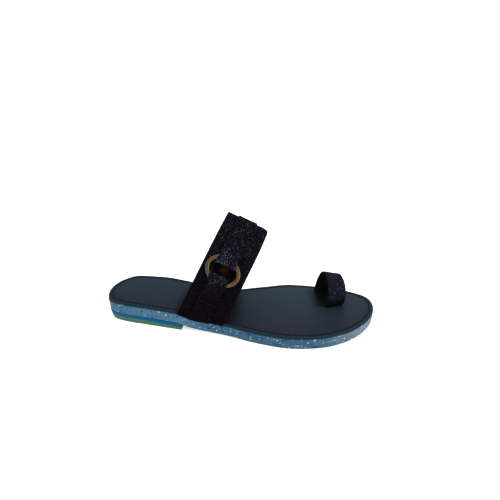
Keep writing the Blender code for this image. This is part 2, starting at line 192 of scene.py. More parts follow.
STITCH_SIDES = 8
SHARP_ANGLE = 55.0
MERGE_DISTANCE = 0.001

# Half widths of the sole on each side of the foot's axis
PlanRow = namedtuple("PlanRow", "from_heel inner outer")
SOLE_PLAN = (
    PlanRow(0.0, 0.0, 0.0),
    PlanRow(6.0, 19.4, 18.9),
    PlanRow(20.0, 29.8, 25.2),
    PlanRow(45.0, 30.4, 29.2),
    PlanRow(80.0, 24.4, 34.4),
    PlanRow(115.0, 25.6, 37.4),
    PlanRow(145.0, 35.8, 45.2),
    PlanRow(175.0, 43.6, 50.0),
    PlanRow(200.0, 42.2, 46.9),
    PlanRow(222.0, 35.9, 38.8),
    PlanRow(238.0, 26.1, 26.8),
    PlanRow(247.0, 14.8, 13.8),
    PlanRow(LENGTH, 0.0, 0.0),
)
AXIS_Y = (max(row.outer for row in SOLE_PLAN) - max(row.inner for row in SOLE_PLAN)) / 2.0

# Height of the sole's underside: raised over the heel block, flat at the ball, sprung at the toe
SideRow = namedtuple("SideRow", "from_heel height")
SOLE_SIDE = (
    SideRow(0.0, 8.9),
    SideRow(25.0, 8.8),
    SideRow(50.0, 8.4),
    SideRow(71.0, 8.0),
    SideRow(84.0, 4.8),
    SideRow(100.0, 2.4),
    SideRow(130.0, 0.5),
    SideRow(150.0, 0.0),
    SideRow(195.0, 0.0),
    SideRow(212.0, 0.7),
    SideRow(230.0, 2.8),
    SideRow(LENGTH, 7.0),
)

# Cross section of the instep: shares of the base width and of the height, from the outer to the inner side
SectionRow = namedtuple("SectionRow", "across up")
INSTEP_SECTION = (
    SectionRow(0.00, 0.00),
    SectionRow(0.06, 0.16),
    SectionRow(0.145, 0.34),
    SectionRow(0.285, 0.56),
    SectionRow(0.46, 0.77),
    SectionRow(0.66, 0.93),
    SectionRow(0.86, 1.00),
    SectionRow(1.02, 0.945),
    SectionRow(1.10, 0.80),
    SectionRow(1.12, 0.58),
    SectionRow(1.075, 0.28),
    SectionRow(1.00, 0.00),
)

# Cross section of the toe loop, from its leg between the toes to its leg at the inner edge
TOE_SECTION = (
    SectionRow(0.00, 0.00),
    SectionRow(-0.10, 0.22),
    SectionRow(-0.14, 0.48),
    SectionRow(-0.06, 0.76),
    SectionRow(0.12, 0.94),
    SectionRow(0.38, 1.00),
    SectionRow(0.62, 0.89),
    SectionRow(0.80, 0.66),
    SectionRow(0.93, 0.36),
    SectionRow(1.00, 0.00),
)

# The band's back and front edges: where each meets the sole on both sides, its forward lean and its height
EdgeRow = namedtuple("EdgeRow", "outer_x inner_x lean height")
BAND_BACK = EdgeRow(73.7, 78.7, 23.9, 90.5)
BAND_FRONT = EdgeRow(115.4, 117.7, 25.8, 78.3)
BAND_WIDTH = BAND_FRONT.outer_x - BAND_BACK.outer_x

# Rounded corner at the crest of the band's front edge: its share of the girth, its reach, how far it draws
# back, and the power by which that fades towards the back edge
CORNER_GIRTH = 0.57
CORNER_LONG = 7.0
CORNER_DRAW = 2.4
CORNER_FADE = 5

# Soft troughs in the fabric: shares of the girth and of the width, length and width of the trough, its turn
# from the girth's direction, and its depth
CreaseRow = namedtuple("CreaseRow", "girth across long wide turn depth")
BAND_CREASES = (
    CreaseRow(0.115, 0.14, 9.0, 2.6, 12.0, 0.35),
    CreaseRow(0.105, 0.90, 8.0, 2.4, -10.0, 0.35),
    CreaseRow(0.160, 0.97, 14.0, 3.0, 8.0, 0.30),
    CreaseRow(0.330, 0.06, 18.0, 3.2, 6.0, 0.35),
    CreaseRow(0.400, 0.93, 16.0, 3.4, -8.0, 0.35),
    CreaseRow(0.560, 0.12, 6.0, 3.0, 70.0, 0.40),
    CreaseRow(0.640, 0.88, 6.0, 3.0, 80.0, 0.40),
    CreaseRow(0.880, 0.50, 10.0, 3.0, 15.0, 0.40),
    CreaseRow(0.900, 0.16, 8.0, 2.6, -12.0, 0.35),
    CreaseRow(0.560, 1.00, 26.0, 3.2, 0.0, 0.9),
    CreaseRow(0.560, 0.00, 26.0, 2.6, 0.0, 0.6),
)
LOOP_CREASES = (
    CreaseRow(0.25, 0.55, 7.0, 2.2, 75.0, 0.30),
    CreaseRow(0.36, 0.40, 6.0, 2.4, 85.0, 0.35),
    CreaseRow(0.62, 0.60, 7.0, 2.4, 95.0, 0.35),
    CreaseRow(0.80, 0.35, 6.0, 2.2, 80.0, 0.30),
)

# Grain of the finishes: the size of one cloud, pit, fibre or mark
FOAM_CLOUD = 9.0
FOAM_PIT = 0.8
WEDGE_CLOUD = 7.0
WEDGE_PIT = 0.7
RUBBER_CLOUD = 6.0
RUBBER_GRIT = 0.9
BOARD_CLOUD = 28.0
BOARD_FIBRE = 0.4
WEAVE_CLOUD = 6.0
WEAVE_SLUB = 0.9
LINING_GRAIN = 0.8
BRASS_CLOUD = 5.0
BRASS_MARK = 0.6
THREAD_TWIST = 0.5

# Where finishes and painted light change: along the foam and across the board, from the sole's middle, and
# round the ring
FOAM_DEEPENS = Span(-62.0, 20.0)
# Painted light: the foam pales towards the toe, which faces the light
FOAM_TOE_LIGHT = Span(70.0, 122.0)
# Painted sheen: the board turns cooler and lighter across, towards its inner side
BOARD_SHEEN_ACROSS = Span(-45.0, 45.0)
GLITTER_CLOSE = Span(9.0, 22.0)
# Painted shade inside the ring: where the fabric loses its glitter and cool yarns
SLOT_SHADE_SPAN = Span(9.0, 13.0)
PAINTED_SLOT_SHIFT = np.array([1.2, 0.0, 0.8])
# Painted reflection of the brass on the fabric inside the ring: how far it reaches
BRASS_REFLECTION_REACH = 6.0

# Height over the floor from which the fabric has all its glitter, and the share of it where that starts
# Below that height the glitter and the cool yarns thin out: painted shade darkening the fabric towards the
# floor
BAND_GLITTER_HEIGHT = 66.0
LOOP_GLITTER_HEIGHT = 25.0
GLITTER_STARTS = 0.3

# Crumbs in the foam, layer over layer: which of two patterns, its pitch in flecks, and the share left plain
CrumbRow = namedtuple("CrumbRow", "moved pitch plain tone")
FOAM_CRUMBS = (
    CrumbRow(False, 1.0, 0.64, "fleck_dark"),
    CrumbRow(True, 1.0, 0.8, "fleck_light"),
    CrumbRow(True, 1.6, 0.78, "fleck_dark"),
    CrumbRow(False, 1.7, 0.88, "fleck_light"),
)

# Studio light by its rise, the sine of its angle over the horizon: a white wall, a dim gap, a bright ceiling
SkyRow = namedtuple("SkyRow", "rise share")
STUDIO_SKY = (
    SkyRow(0.00, 0.55),
    SkyRow(0.34, 0.55),
    SkyRow(0.42, 0.13),
    SkyRow(0.66, 0.13),
    SkyRow(0.80, 1.00),
)
SKY_STRENGTH = 1.95

# Soft lamps, aimed at the sandal's middle; power is in watts
LampRow = namedtuple("LampRow", "name place size power tint")
LAMPS = (
    LampRow("front light", (1100.0, -700.0, 500.0), 800.0, 6.5, (1.0, 1.0, 1.0)),
    LampRow("back light", (200.0, 1200.0, 700.0), 900.0, 6.0, (0.85, 0.96, 1.0)),
)
LAMP_AIM = (0.0, 0.0, 30.0)

# Floor
FLOOR_RADII = (0.0, 400.0, 1500.0, 6000.0)
FLOOR_SIDES = 96
FLOOR_GLOW = 0.65

# The photograph's camera, over the outer side of the foot
CAMERA_PLACE = (53.2, -378.8, 246.8)
CAMERA_AZIMUTH = 6.325
CAMERA_ELEVATION = 24.836
CAMERA_FOCAL_PIXELS = 470.86
CAMERA_NEAR = 10.0
IMAGE_PIXELS = 500.0
SENSOR_WIDTH = 36.0

# Sockets of a Mix node that hold its two colours
FROM_COLOUR, TO_COLOUR = 6, 7


def linear_colour(hex_colour):
    """Turn an sRGB hex colour into linear red, green and blue."""
    values = np.array([int(hex_colour[i:i + 2], 16) for i in (1, 3, 5)]) / 255.0
    return tuple(np.where(values <= 0.04045, values / 12.92, ((values + 0.055) / 1.055) ** 2.4))


def length(name, millimetres, description):
    """A size that a user may change, given here in millimetres."""
    return FloatProperty(name=name, description=description, default=millimetres * MM, min=0.0,
                         precision=5, unit="LENGTH")


def colour(name, hex_colour, description):
    """A colour that a user may change, given here as sRGB hex."""
    return FloatVectorProperty(name=name, description=description, default=linear_colour(hex_colour),
                               size=3, min=0.0, max=1.0, subtype="COLOR")


class SandalSizes(bpy.types.PropertyGroup):
    """Sizes of the visible finish that a user would change."""

    sole_edge: length("Sole edge", 0.9, "Radius of the foam sole's lower edge")
    board_edge: length("Board edge", 0.7, "Radius of the footbed's upper edge")
    stitch_inset: length("Stitch inset", 3.4, "Distance of the stitch line from the footbed's edge")
    stitch_pitch: length("Stitch pitch", 4.6, "Distance from one stitch to the next")
    stitch_length: length("Stitch length", 3.7, "Length of the thread that shows in each stitch")
    thread: length("Thread", 1.1, "Thickness of the sewing thread")
    groove_depth: length("Groove depth", 0.45, "Depth of the groove that the stitches lie in")
    groove_width: length("Groove width", 1.3, "Width of the groove that the stitches lie in")
    fleck: length("Foam fleck", 1.3, "Distance between the small crumbs in the foam")
    yarn: length("Yarn", 1.05, "Distance between the yarns of the weave, coarser than real so that it shows")
    glitter: length("Glitter", 0.95, "Distance between the shiny yarn floats")
    grain: length("Leather grain", 0.9, "Width of a grain of the leather board")


class SandalColours(bpy.types.PropertyGroup):
    """Colours of the finishes that a user would change."""

    foam: colour("Foam", "#4A6E85", "Pale blue of the foam sole")
    foam_deep: colour("Foam shade", "#2C5065", "Darker patches of the foam sole")
    # Painted light: paler foam where the toe faces the light
    foam_toe_light: colour("Foam, pale", "#7F8A94", "Paler foam towards the toe")
    fleck_light: colour("Light fleck", "#B4C6D2", "White crumbs in the foam")
    fleck_dark: colour("Dark fleck", "#0A2038", "Navy crumbs in the foam")
    lift: colour("Heel lift", "#064668", "Deep blue of the heel's wedge")
    rubber_upper: colour("Rubber, upper", "#255E53", "Sea green at the top of the heel's rubber")
    rubber_lower: colour("Rubber, lower", "#34583D", "Mossier green at the floor")
    board: colour("Board", "#1B1C25", "Slate of the footbed")
    # Bluer patches of the footbed, and its painted sheen towards the inner side
    board_cool_and_sheen: colour("Board, cool", "#23323E", "Bluer patches of the footbed")
    # Painted shade: the footbed darkened below and beside the straps and in the stitch groove
    painted_shade: colour("Board, shielded", "#07070A", "Footbed where the straps keep it dark")
    border: colour("Border", "#1E2A34", "Footbed outside its stitch line")
    # Dyed edge, darkened further as painted shade from the gap under the board
    edge: colour("Edge dye", "#182B36", "Dyed edge of the footbed")
    thread: colour("Thread", "#0A0B12", "Sewing thread")
    fabric: colour("Fabric", "#070408", "Ground of the woven fabric")
    fabric_cool: colour("Fabric, cool", "#0E0D13", "Bluer yarns of the woven fabric")
    loop_cool: colour("Loop, cool", "#1A1B26", "Bluer yarns of the toe loop's paler fabric")
    glitter: colour("Glitter", "#666D84", "Shiny yarn floats")
    lining: colour("Lining", "#080609", "Lining of the band")
    # Painted reflection: the warm red that the brass ring throws on the fabric inside it
    painted_brass_reflection: colour("Ring glow", "#2E0F0E", "Warm reddish tint of the fabric inside the ring")
    brass: colour("Brass", "#766443", "Tumbled brass of the ring")
    brass_deep: colour("Brass, tarnished", "#4C402A", "Darker patches of the ring")
    floor: colour("Floor", "#F7F7F7", "Plain pale floor")


def limited_cubic(x, xs, ys):
    """Cubic pieces through (xs, ys); a slope is zero at a peak and limited beside a flatter stretch."""
    step = np.diff(xs)
    secant = np.diff(ys) / step
    slope = np.gradient(ys, xs)
    turning = secant[:-1] * secant[1:] <= 0.0
    limit = 3.0 * np.minimum(np.abs(secant[:-1]), np.abs(secant[1:]))
    slope[1:-1] = np.where(turning, 0.0, np.clip(slope[1:-1], -limit, limit))
    i = np.clip(np.searchsorted(xs, x, side="right") - 1, 0, len(step) - 1)
    t = (x - xs[i]) / step[i]
    rise = ys[i] * (1 + 2 * t) * (1 - t) ** 2 + ys[i + 1] * t ** 2 * (3 - 2 * t)
    return rise + step[i] * (slope[i] * t * (1 - t) ** 2 - slope[i + 1] * t ** 2 * (1 - t))


def unit(vectors):
    """Vectors scaled to length one."""
    return vectors / np.linalg.norm(vectors, axis=-1, keepdims=True)


def smooth_step(x, start, end):
    """Ease from 0 at start to 1 at end."""
    t = np.clip((x - start) / (end - start), 0.0, 1.0)
    return t * t * (3.0 - 2.0 * t)


def fade_out(x, start, end):
    """Ease from 1 at start to 0 at end."""
    return 1.0 - smooth_step(x, start, end)


def whole_turn(steps):
    """Angles evenly round a circle."""
    return np.linspace(0.0, 2.0 * np.pi, steps, endpoint=False)


def run_length(points):
    """Length along a line of points, from its first to every point; a grid's columns are such lines."""
    steps = np.linalg.norm(np.diff(points, axis=0), axis=-1)
    return np.concatenate([np.zeros((1, *steps.shape[1:])), np.cumsum(steps, axis=0)])


def read_along(line, run, wanted, period=None):
    """Points at the wanted lengths along a line whose points lie at the lengths in run."""
    return np.stack([np.interp(wanted, run, line[:, k], period=period) for k in range(3)], axis=1)


def turn_of(from_heel):
    """Angle whose cosine places a point along the sole, so that round ends stay round."""
    return np.arccos(np.clip(1.0 - 2.0 * np.asarray(from_heel, float) / LENGTH, -1.0, 1.0))


def half_width(from_heel, side):
    """Distance from the foot's axis to the sole's edge on the inner or outer side."""
    turns = turn_of([row.from_heel for row in SOLE_PLAN])
    widths = np.array([getattr(row, side) for row in SOLE_PLAN])
    return limited_cubic(turn_of(from_heel), turns, widths)


def underside(from_heel):
    """Height of the foam sole's underside over the floor."""
    rows = np.array(SOLE_SIDE)
    return limited_cubic(np.clip(from_heel, 0.0, LENGTH), rows[:, 0], rows[:, 1])


def sole_top(from_heel):
    """Height of the foam sole's upper face; the sole is a little thinner at the toe."""
    thinned = TOE_THINNING * smooth_step(from_heel, TOE_THINS_FROM, LENGTH)
    return underside(from_heel) + SOLE_THICKNESS - thinned


def top_piece_top(from_heel):
    """Height of the rubber top piece: level under the heel, then thinner towards its front."""
    return np.interp(from_heel, [TOP_PIECE_LEVEL, HEEL_FRONT], [TOP_PIECE_BACK, TOP_PIECE_FRONT])


def in_frame(points):
    """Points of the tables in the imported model's frame, in metres."""
    return (points + [-LENGTH / 2.0, AXIS_Y, 0.0]) * MM


def cell_corners(grid):
    """The values of a grid at the four corners of each of its cells, in order round the cell."""
    return np.stack([grid[:-1, :-1], grid[1:, :-1], grid[1:, 1:], grid[:-1, 1:]], axis=2)


def make_piece(name, grid, materials, wrap=(False, True), uv=None, face_slots=None, masks=None, run=None):
    """Object from a grid of surface points; each cell is a face, and points that coincide are merged.

    wrap closes the grid along its rows or columns, uv holds one more line than the grid where it wraps, and
    masks are named values for the points. Where run is given, each run of rows is a separate surface.
    """
    rows, columns = grid.shape[:2]
    index = np.arange(rows * columns).reshape(rows, columns)
    corner = cell_corners(np.pad(index, [(0, int(closed)) for closed in wrap], mode="wrap"))
    if run:
        corner = corner[np.arange(len(corner)) % run != run - 1]
    mesh = bpy.data.meshes.new(name)
    mesh.from_pydata(in_frame(grid.reshape(-1, 3)).tolist(), [], corner.reshape(-1, 4).tolist())
    if uv is not None:
        spread = (cell_corners(uv) * MM).astype(np.float32)
        mesh.uv_layers.new(name="weave").data.foreach_set("uv", spread.ravel())
    for mask, values in (masks or {}).items():
        layer = mesh.attributes.new(mask, "FLOAT", "POINT")
        layer.data.foreach_set("value", np.broadcast_to(values, (rows, columns)).astype(np.float32).ravel())
    if face_slots is not None:
        slots = np.broadcast_to(face_slots, corner.shape[:2]).astype(np.int32)
        mesh.polygons.foreach_set("material_index", slots.ravel())
    merged = bmesh.new()
    merged.from_mesh(mesh)
    bmesh.ops.remove_doubles(merged, verts=merged.verts, dist=MERGE_DISTANCE * MM)
    if merged.calc_volume(signed=True) < 0.0:
        bmesh.ops.reverse_faces(merged, faces=merged.faces)
    merged.to_mesh(mesh)
    merged.free()
    mesh.shade_smooth()
    mesh.set_sharp_from_angle(angle=np.radians(SHARP_ANGLE))
    for finish in materials:
        mesh.materials.append(finish)
    piece = bpy.data.objects.new(name, mesh)
    bpy.context.scene.collection.objects.link(piece)
    return piece


def dress(piece, slot, *nodes):
    """Tie a piece to the sandal's one body and the solids that it stands for; its finish slot is not used."""
    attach(piece, "root")
    if nodes:
        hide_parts(*nodes)


def sole_loop():
    """Closed plan outline of the sole: from the heel along the outer edge to the toe and back inside."""
    along = LENGTH * (1.0 - np.cos(np.linspace(0.0, np.pi, SOLE_SAMPLES + 1))) / 2.0
    outer = np.stack([along, -half_width(along, "outer")], axis=1)
    inner = np.stack([along, half_width(along, "inner")], axis=1)
    return np.concatenate([outer, inner[-2:0:-1]])


def outward(loop):
    """Unit normals of a closed plan outline that runs counter-clockwise."""
    tangent = np.roll(loop, -1, axis=0) - np.roll(loop, 1, axis=0)
    return unit(np.stack([tangent[:, 1], -tangent[:, 0]], axis=1))


def sole_outline(inset):
    """The sole's outline moved in along its own normals, a row for each inset."""
    loop = sole_loop()
    return loop - inset[..., None] * outward(loop)


def heel_outline(inset):
    """Outline of the heel block moved in, a row for each inset: the sole's edges and a straight front.

    Each edge runs from the heel's tip to the moved front, every point moved along the edge's own normal.
    """
    share = np.linspace(0.0, 1.0, HEEL_SAMPLES + 1)
    along = LENGTH * (1.0 - np.cos(turn_of(HEEL_FRONT - inset) * share)) / 2.0
    edges = []
    for side, sign in (("outer", -1.0), ("inner", 1.0)):
        edge = np.stack([along, sign * half_width(along, side)], axis=2)
        tangent = np.gradient(edge, axis=1)
        inward = sign * unit(np.stack([tangent[..., 1], -tangent[..., 0]], axis=2))
        inward[:, 0] = [1.0, 0.0]
        edge += inset[..., None] * inward
        edge[:, -1:, 0] = HEEL_FRONT - inset
        edges.append(edge)
    outer, inner = edges
    front = np.linspace(outer[:, -1], inner[:, -1], HEEL_FRONT_SAMPLES + 1, axis=1)[:, 1:-1]
    return np.concatenate([outer, front, inner[:, :0:-1]], axis=1)


Ring = namedtuple("Ring", "inset blend share lift")


def layer_rings(reach, top_insets, spine_rings, top_round, bottom_round, undercut):
    """Profile of a sole layer, one ring a row: from its spine over the top, round the edge and back below.

    inset is the distance from the outline, blend the share of the way on to the spine, share the share of
    the thickness and lift a height added to it. The two edges are quarter circles.
    """
    quarter = np.radians(np.linspace(0.0, 90.0, ROUND_STEPS + 1))
    spine = np.linspace(1.0, 0.0, spine_rings + 1)
    flat = np.sort(np.append(top_insets, reach))[::-1]
    side = np.linspace(1.0, 0.0, SIDE_STEPS + 2)[1:-1]
    parts = [
        (np.full(len(spine) - 1, reach), spine[:-1], 1.0, 0.0),
        (flat, 0.0, 1.0, 0.0),
        (top_round * (1.0 - np.sin(quarter)), 0.0, 1.0, -top_round * (1.0 - np.cos(quarter))),
        (undercut * (1.0 - side), 0.0, side, 0.0),
        (undercut + bottom_round * (1.0 - np.cos(quarter)), 0.0, 0.0, bottom_round * (1.0 - np.sin(quarter))),
        (np.full(len(spine), reach), spine[::-1], 0.0, 0.0),
    ]
    rings = np.concatenate([np.stack(np.broadcast_arrays(*part), axis=1) for part in parts])
    return Ring(*rings.T[:, :, None])


def layer_grid(outline, rings, spine_ends, bottom, top, notch=0.0, sink=None, hollow=None):
    """Grid of a sole layer: rings of its profile by points of its outline.

    Each ring is the outline moved in by the ring's inset and then drawn towards the spine, a straight line on
    the foot's axis. A notch moves the outline in, sink(plan, inset) lowers the upper face and hollow(plan)
    raises the lower one.
    """
    squeeze = np.clip(1.0 - rings.inset / rings.inset.max(), 0.0, 1.0)
    inset = rings.inset + notch * squeeze
    edge = outline(inset)
    loop = outline(np.zeros((1, 1)))[0]
    start, end = spine_ends
    spine = np.stack([start + loop[:, 0] * (end - start) / loop[:, 0].max(), np.zeros(len(loop))], axis=1)
    plan = edge + rings.blend[..., None] * (spine - edge)
    x = np.clip(plan[..., 0], 0.0, LENGTH)
    height = top(x) - (sink(plan, inset) if sink else 0.0)
    base = bottom(x) + (hollow(plan) if hollow else 0.0)
    level = base * (1.0 - rings.share) + height * rings.share + rings.lift
    return np.concatenate([plan, level[..., None]], axis=2)


def band_lines(plan, edge):
    """Share of the way from the outer to the inner foot of an edge, and where the band's two edges run."""
    outer_y, inner_y = -half_width(edge.outer_x, "outer"), half_width(edge.inner_x, "inner")
    share = (plan[..., 1] - outer_y) / (inner_y - outer_y)
    back, front = (row.outer_x + share * (row.inner_x - row.outer_x) for row in (BAND_BACK, BAND_FRONT))
    return share, back, front


def under_band(plan, low=0.0, high=1.0):
    """1 below a part of the band's width, 0 elsewhere; low and high are shares from its back to its front."""
    back, front = band_lines(plan, BAND_BACK)[1:]
    behind = back + low * (front - back) - plan[..., 0]
    ahead = plan[..., 0] - back - high * (front - back)
    return fade_out(behind, *POCKET_SIDE) * fade_out(ahead, *POCKET_SIDE)


def pocket(plan, tuck, low=0.0, high=1.0):
    """1 where a strip lasted by tuck lies between board and foam, 0 elsewhere."""
    x, y = np.clip(plan[..., 0], 0.0, LENGTH), plan[..., 1]
    from_edge = np.where(y < 0.0, half_width(x, "outer") + y, half_width(x, "inner") - y)
    return under_band(plan, low, high) * fade_out(from_edge - tuck, *POCKET_END)


def beside_loop(plan, reach):
    """1 round the two legs of the toe loop, fading to 0 over the given reach from them."""
    near = 0.0
    for foot, inside in ((LOOP_NEAR, 1.0), (LOOP_FAR, -1.0)):
        middle = foot + inside * LOOP_ACROSS * LOOP_WALL / 2.0
        wide = np.abs((plan - middle) @ LOOP_FORWARD) - LOOP_WIDTH / 2.0
        deep = np.abs((plan - middle) @ LOOP_ACROSS) - LOOP_WALL / 2.0
        near = np.maximum(near, fade_out(np.maximum(wide, deep), *reach))
    return near


def painted_shade(plan):
    """Painted shade on the footbed: full below the straps, fading past the band and round the loop."""
    share, back, front = band_lines(plan, BAND_FRONT)
    start, end = BAND_SHADE_FRONT
    ahead = fade_out(plan[..., 0] - front, start, end - BAND_SHADE_SLANT * share)
    band = fade_out(back - plan[..., 0], *BAND_SHADE_BACK) * ahead
    from_middle = plan - (LOOP_NEAR + LOOP_FAR) / 2.0
    forward = from_middle @ LOOP_FORWARD
    toe = fade_out(np.abs(from_middle @ LOOP_ACROSS) - LOOP_SPAN / 2.0, *LOOP_SHADE_SIDE)
    toe = toe * fade_out(-forward - LOOP_WIDTH / 2.0, *LOOP_SHADE_BACK)
    toe = toe * fade_out(forward - LOOP_WIDTH / 2.0, *LOOP_SHADE_FRONT)
    return np.maximum(BAND_SHADE * band, LOOP_SHADE * toe)


def lasted_path(section, width, height, tuck, fold):
    """Outer face of a lasted strip in its own plane, a column for each width and height.

    From the outer side: a flat tuck below the sole's upper face, an arc round the footbed's edge up to the
    arch's slant, the arch, which is a smooth curve through the section's shares, and the same again.
    """
    rows = np.array(section)
    radius = fold.depth + fold.rise

    def foot(rise):
        slant = np.arctan2(rise[0] * width, rise[1] * height)
        share = np.linspace(0.0, 1.0, CORNER_POINTS + 1)[:, None]
        angle = -np.pi / 2.0 - share * (np.pi / 2.0 + slant)
        corner = np.stack([radius * (1.0 + np.cos(angle)), fold.rise + radius * np.sin(angle)], axis=2)
        run = np.linspace(tuck, radius, TUCK_POINTS + 1)[:-1, None] + np.zeros(len(width))
        return np.concatenate([np.stack([run, np.full_like(run, -fold.depth)], axis=2), corner])

    near = foot(rows[1] - rows[0])
    far = foot((rows[-2] - rows[-1]) * [-1.0, 1.0])[::-1] * [-1.0, 1.0]
    far[..., 0] += width
    step = run_length(rows)
    fine = np.linspace(0.0, step[-1], ARCH_POINTS + 1)
    across, up = (limited_cubic(fine, step, rows[:, k])[:, None] for k in (0, 1))
    arch = near[-1] + across[..., None] * (far[0] - near[-1])
    arch[..., 1] += up * (height - fold.rise)
    return np.concatenate([near, arch[1:-1], far])


def stand(path, outer_base, inner_base, lean):
    """Stand a strip's path between its base points, its height leaning forward: base plus share plus rise."""
    base = inner_base - outer_base
    share = path[..., :1] / np.linalg.norm(base, axis=1)[:, None]
    up = np.stack([np.sin(np.radians(lean)), np.zeros(len(lean)), np.cos(np.radians(lean))], axis=1)
    return outer_base + share * base + path[..., 1:] * up


def band_surface(shares, tuck):
    """Outer face of the instep band: rows round the foot, a column for each share from back to front edge."""
    back, front = np.array(BAND_BACK), np.array(BAND_FRONT)
    outer_x, inner_x, lean, height = (back + shares[:, None] * (front - back)).T
    outer = np.stack([outer_x, -half_width(outer_x, "outer") - BAND_PROUD, sole_top(outer_x)], axis=1)
    inner = np.stack([inner_x, half_width(inner_x, "inner") + BAND_PROUD, sole_top(inner_x)], axis=1)
    width = np.linalg.norm(inner - outer, axis=1)
    return stand(lasted_path(INSTEP_SECTION, width, height, tuck + BAND_PROUD, BAND_FOLD), outer, inner, lean)


def loop_surface(shares):
    """Outer face of the toe loop: rows over the toe, a column for each share from its back to its front."""
    shift = (shares[:, None] - 0.5) * LOOP_WIDTH * LOOP_FORWARD
    near, far = (np.column_stack([foot + shift, sole_top(foot[0] + shift[:, 0])])
                 for foot in (LOOP_NEAR, LOOP_FAR))
    height = LOOP_BACK_HEIGHT + shares * (LOOP_FRONT_HEIGHT - LOOP_BACK_HEIGHT)
    path = lasted_path(TOE_SECTION, np.full(len(shares), LOOP_SPAN), height, LOOP_TUCK, LOOP_FOLD)
    return stand(path, near, far, np.full(len(shares), LOOP_LEAN))


def sheet_normals(points):
    """Unit normals of a grid of surface points: the cross product of its two directions."""
    return unit(np.cross(np.gradient(points, axis=1), np.gradient(points, axis=0)))


def at_girth(values, girth, wanted):
    """Read a grid of vectors at the wanted lengths along each of its columns."""
    columns = range(values.shape[1])
    return np.stack([read_along(values[:, j], girth[:, j], wanted[:, j]) for j in columns], axis=1)


def creased(surface, creases):
    """Press soft troughs into a surface: each is a bell curve, long one way and narrow the other."""
    girth = run_length(surface)
    width = np.linalg.norm(np.diff(surface, axis=1), axis=2).sum(axis=1).mean()
    across = np.linspace(0.0, width, surface.shape[1])
    depth = np.zeros(surface.shape[:2])
    for row in creases:
        along, aside = girth - row.girth * girth[-1], across - row.across * width
        turn = np.radians(row.turn)
        far_along = (along * np.cos(turn) + aside * np.sin(turn)) / row.long
        far_aside = (aside * np.cos(turn) - along * np.sin(turn)) / row.wide
        depth += row.depth * np.exp(-far_along ** 2 - far_aside ** 2)
    return surface - depth[..., None] * sheet_normals(surface)


def eased_corner(surface):
    """Draw a band's front edge back where it crosses the crest: a bell curve along the edge, faded across."""
    girth = run_length(surface)
    bell = np.exp(-((girth - CORNER_GIRTH * girth[-1]) / CORNER_LONG) ** 2)
    fade = np.linspace(0.0, 1.0, surface.shape[1]) ** CORNER_FADE
    return surface - CORNER_DRAW * (bell * fade)[..., None] * unit(np.gradient(surface, axis=1))


def fabric_shell(outer, wall):
    """Closed strip of fabric under an outer face, with full round edges and ends pressed shut.

    Round each row runs: the outer face, a half circle round the edge, the inner face and the other half
    circle. Returns the grid and its flat coordinates along and across, in millimetres.
    """
    normal = sheet_normals(outer)
    across = unit(np.gradient(outer, axis=1))
    half = np.broadcast_to(wall, outer.shape[:2])[..., None] / 2.0
    middle = outer - half * normal
    angle = np.linspace(0.0, np.pi, EDGE_STEPS + 1)[1:-1, None]
    front = middle[:, -1:] + half[:, -1:] * (np.cos(angle) * normal[:, -1:] + np.sin(angle) * across[:, -1:])
    back = middle[:, :1] - half[:, :1] * (np.cos(angle) * normal[:, :1] + np.sin(angle) * across[:, :1])
    grid = np.concatenate([outer, front, (middle - half * normal)[:, ::-1], back], axis=1)
    shut = np.concatenate([middle, np.repeat(middle[:, -1:], len(angle), axis=1), middle[:, ::-1],
                           np.repeat(middle[:, :1], len(angle), axis=1)], axis=1)
    grid = np.concatenate([shut[:1], grid, shut[-1:]])
    ring = grid[len(grid) // 2]
    flat = run_length(grid[:, outer.shape[1] // 2]), run_length(np.concatenate([ring, ring[:1]]))
    return grid, np.stack(np.meshgrid(*flat, indexing="ij"), axis=2)


def lined_faces(columns):
    """True for the faces on the inner side of a fabric shell whose outer side has the given columns."""
    face = np.arange(2 * (columns + EDGE_STEPS))
    return (face > columns + EDGE_STEPS) & (face < 2 * columns + EDGE_STEPS)


def inset_shares(columns, width, wall):
    """Even shares across a strip, kept half a wall inside its edges so that round edges end on them."""
    margin = wall / 2.0 / width
    return np.linspace(margin, 1.0 - margin, columns + 1)


Seat = namedtuple("Seat", "place normal along")


def ring_seat():
    """Middle of the ring's seat on the band's outer face, its outward normal and the strip's direction."""
    surface = band_surface(np.array([STRAP_EDGES[0], STRAP_MIDDLE, STRAP_EDGES[1]]), BAND_TUCK)
    girth = run_length(surface)
    middle = RING_SHARE * girth[-1:]
    place = at_girth(surface, girth, middle)[0, 1]
    normal = unit(at_girth(sheet_normals(surface), girth, middle)[0, 1])
    ends = at_girth(surface, girth, middle + [[-SLOT_HALF], [SLOT_HALF]])[:, 1]
    return Seat(place, normal, unit(ends[1] - ends[0]))


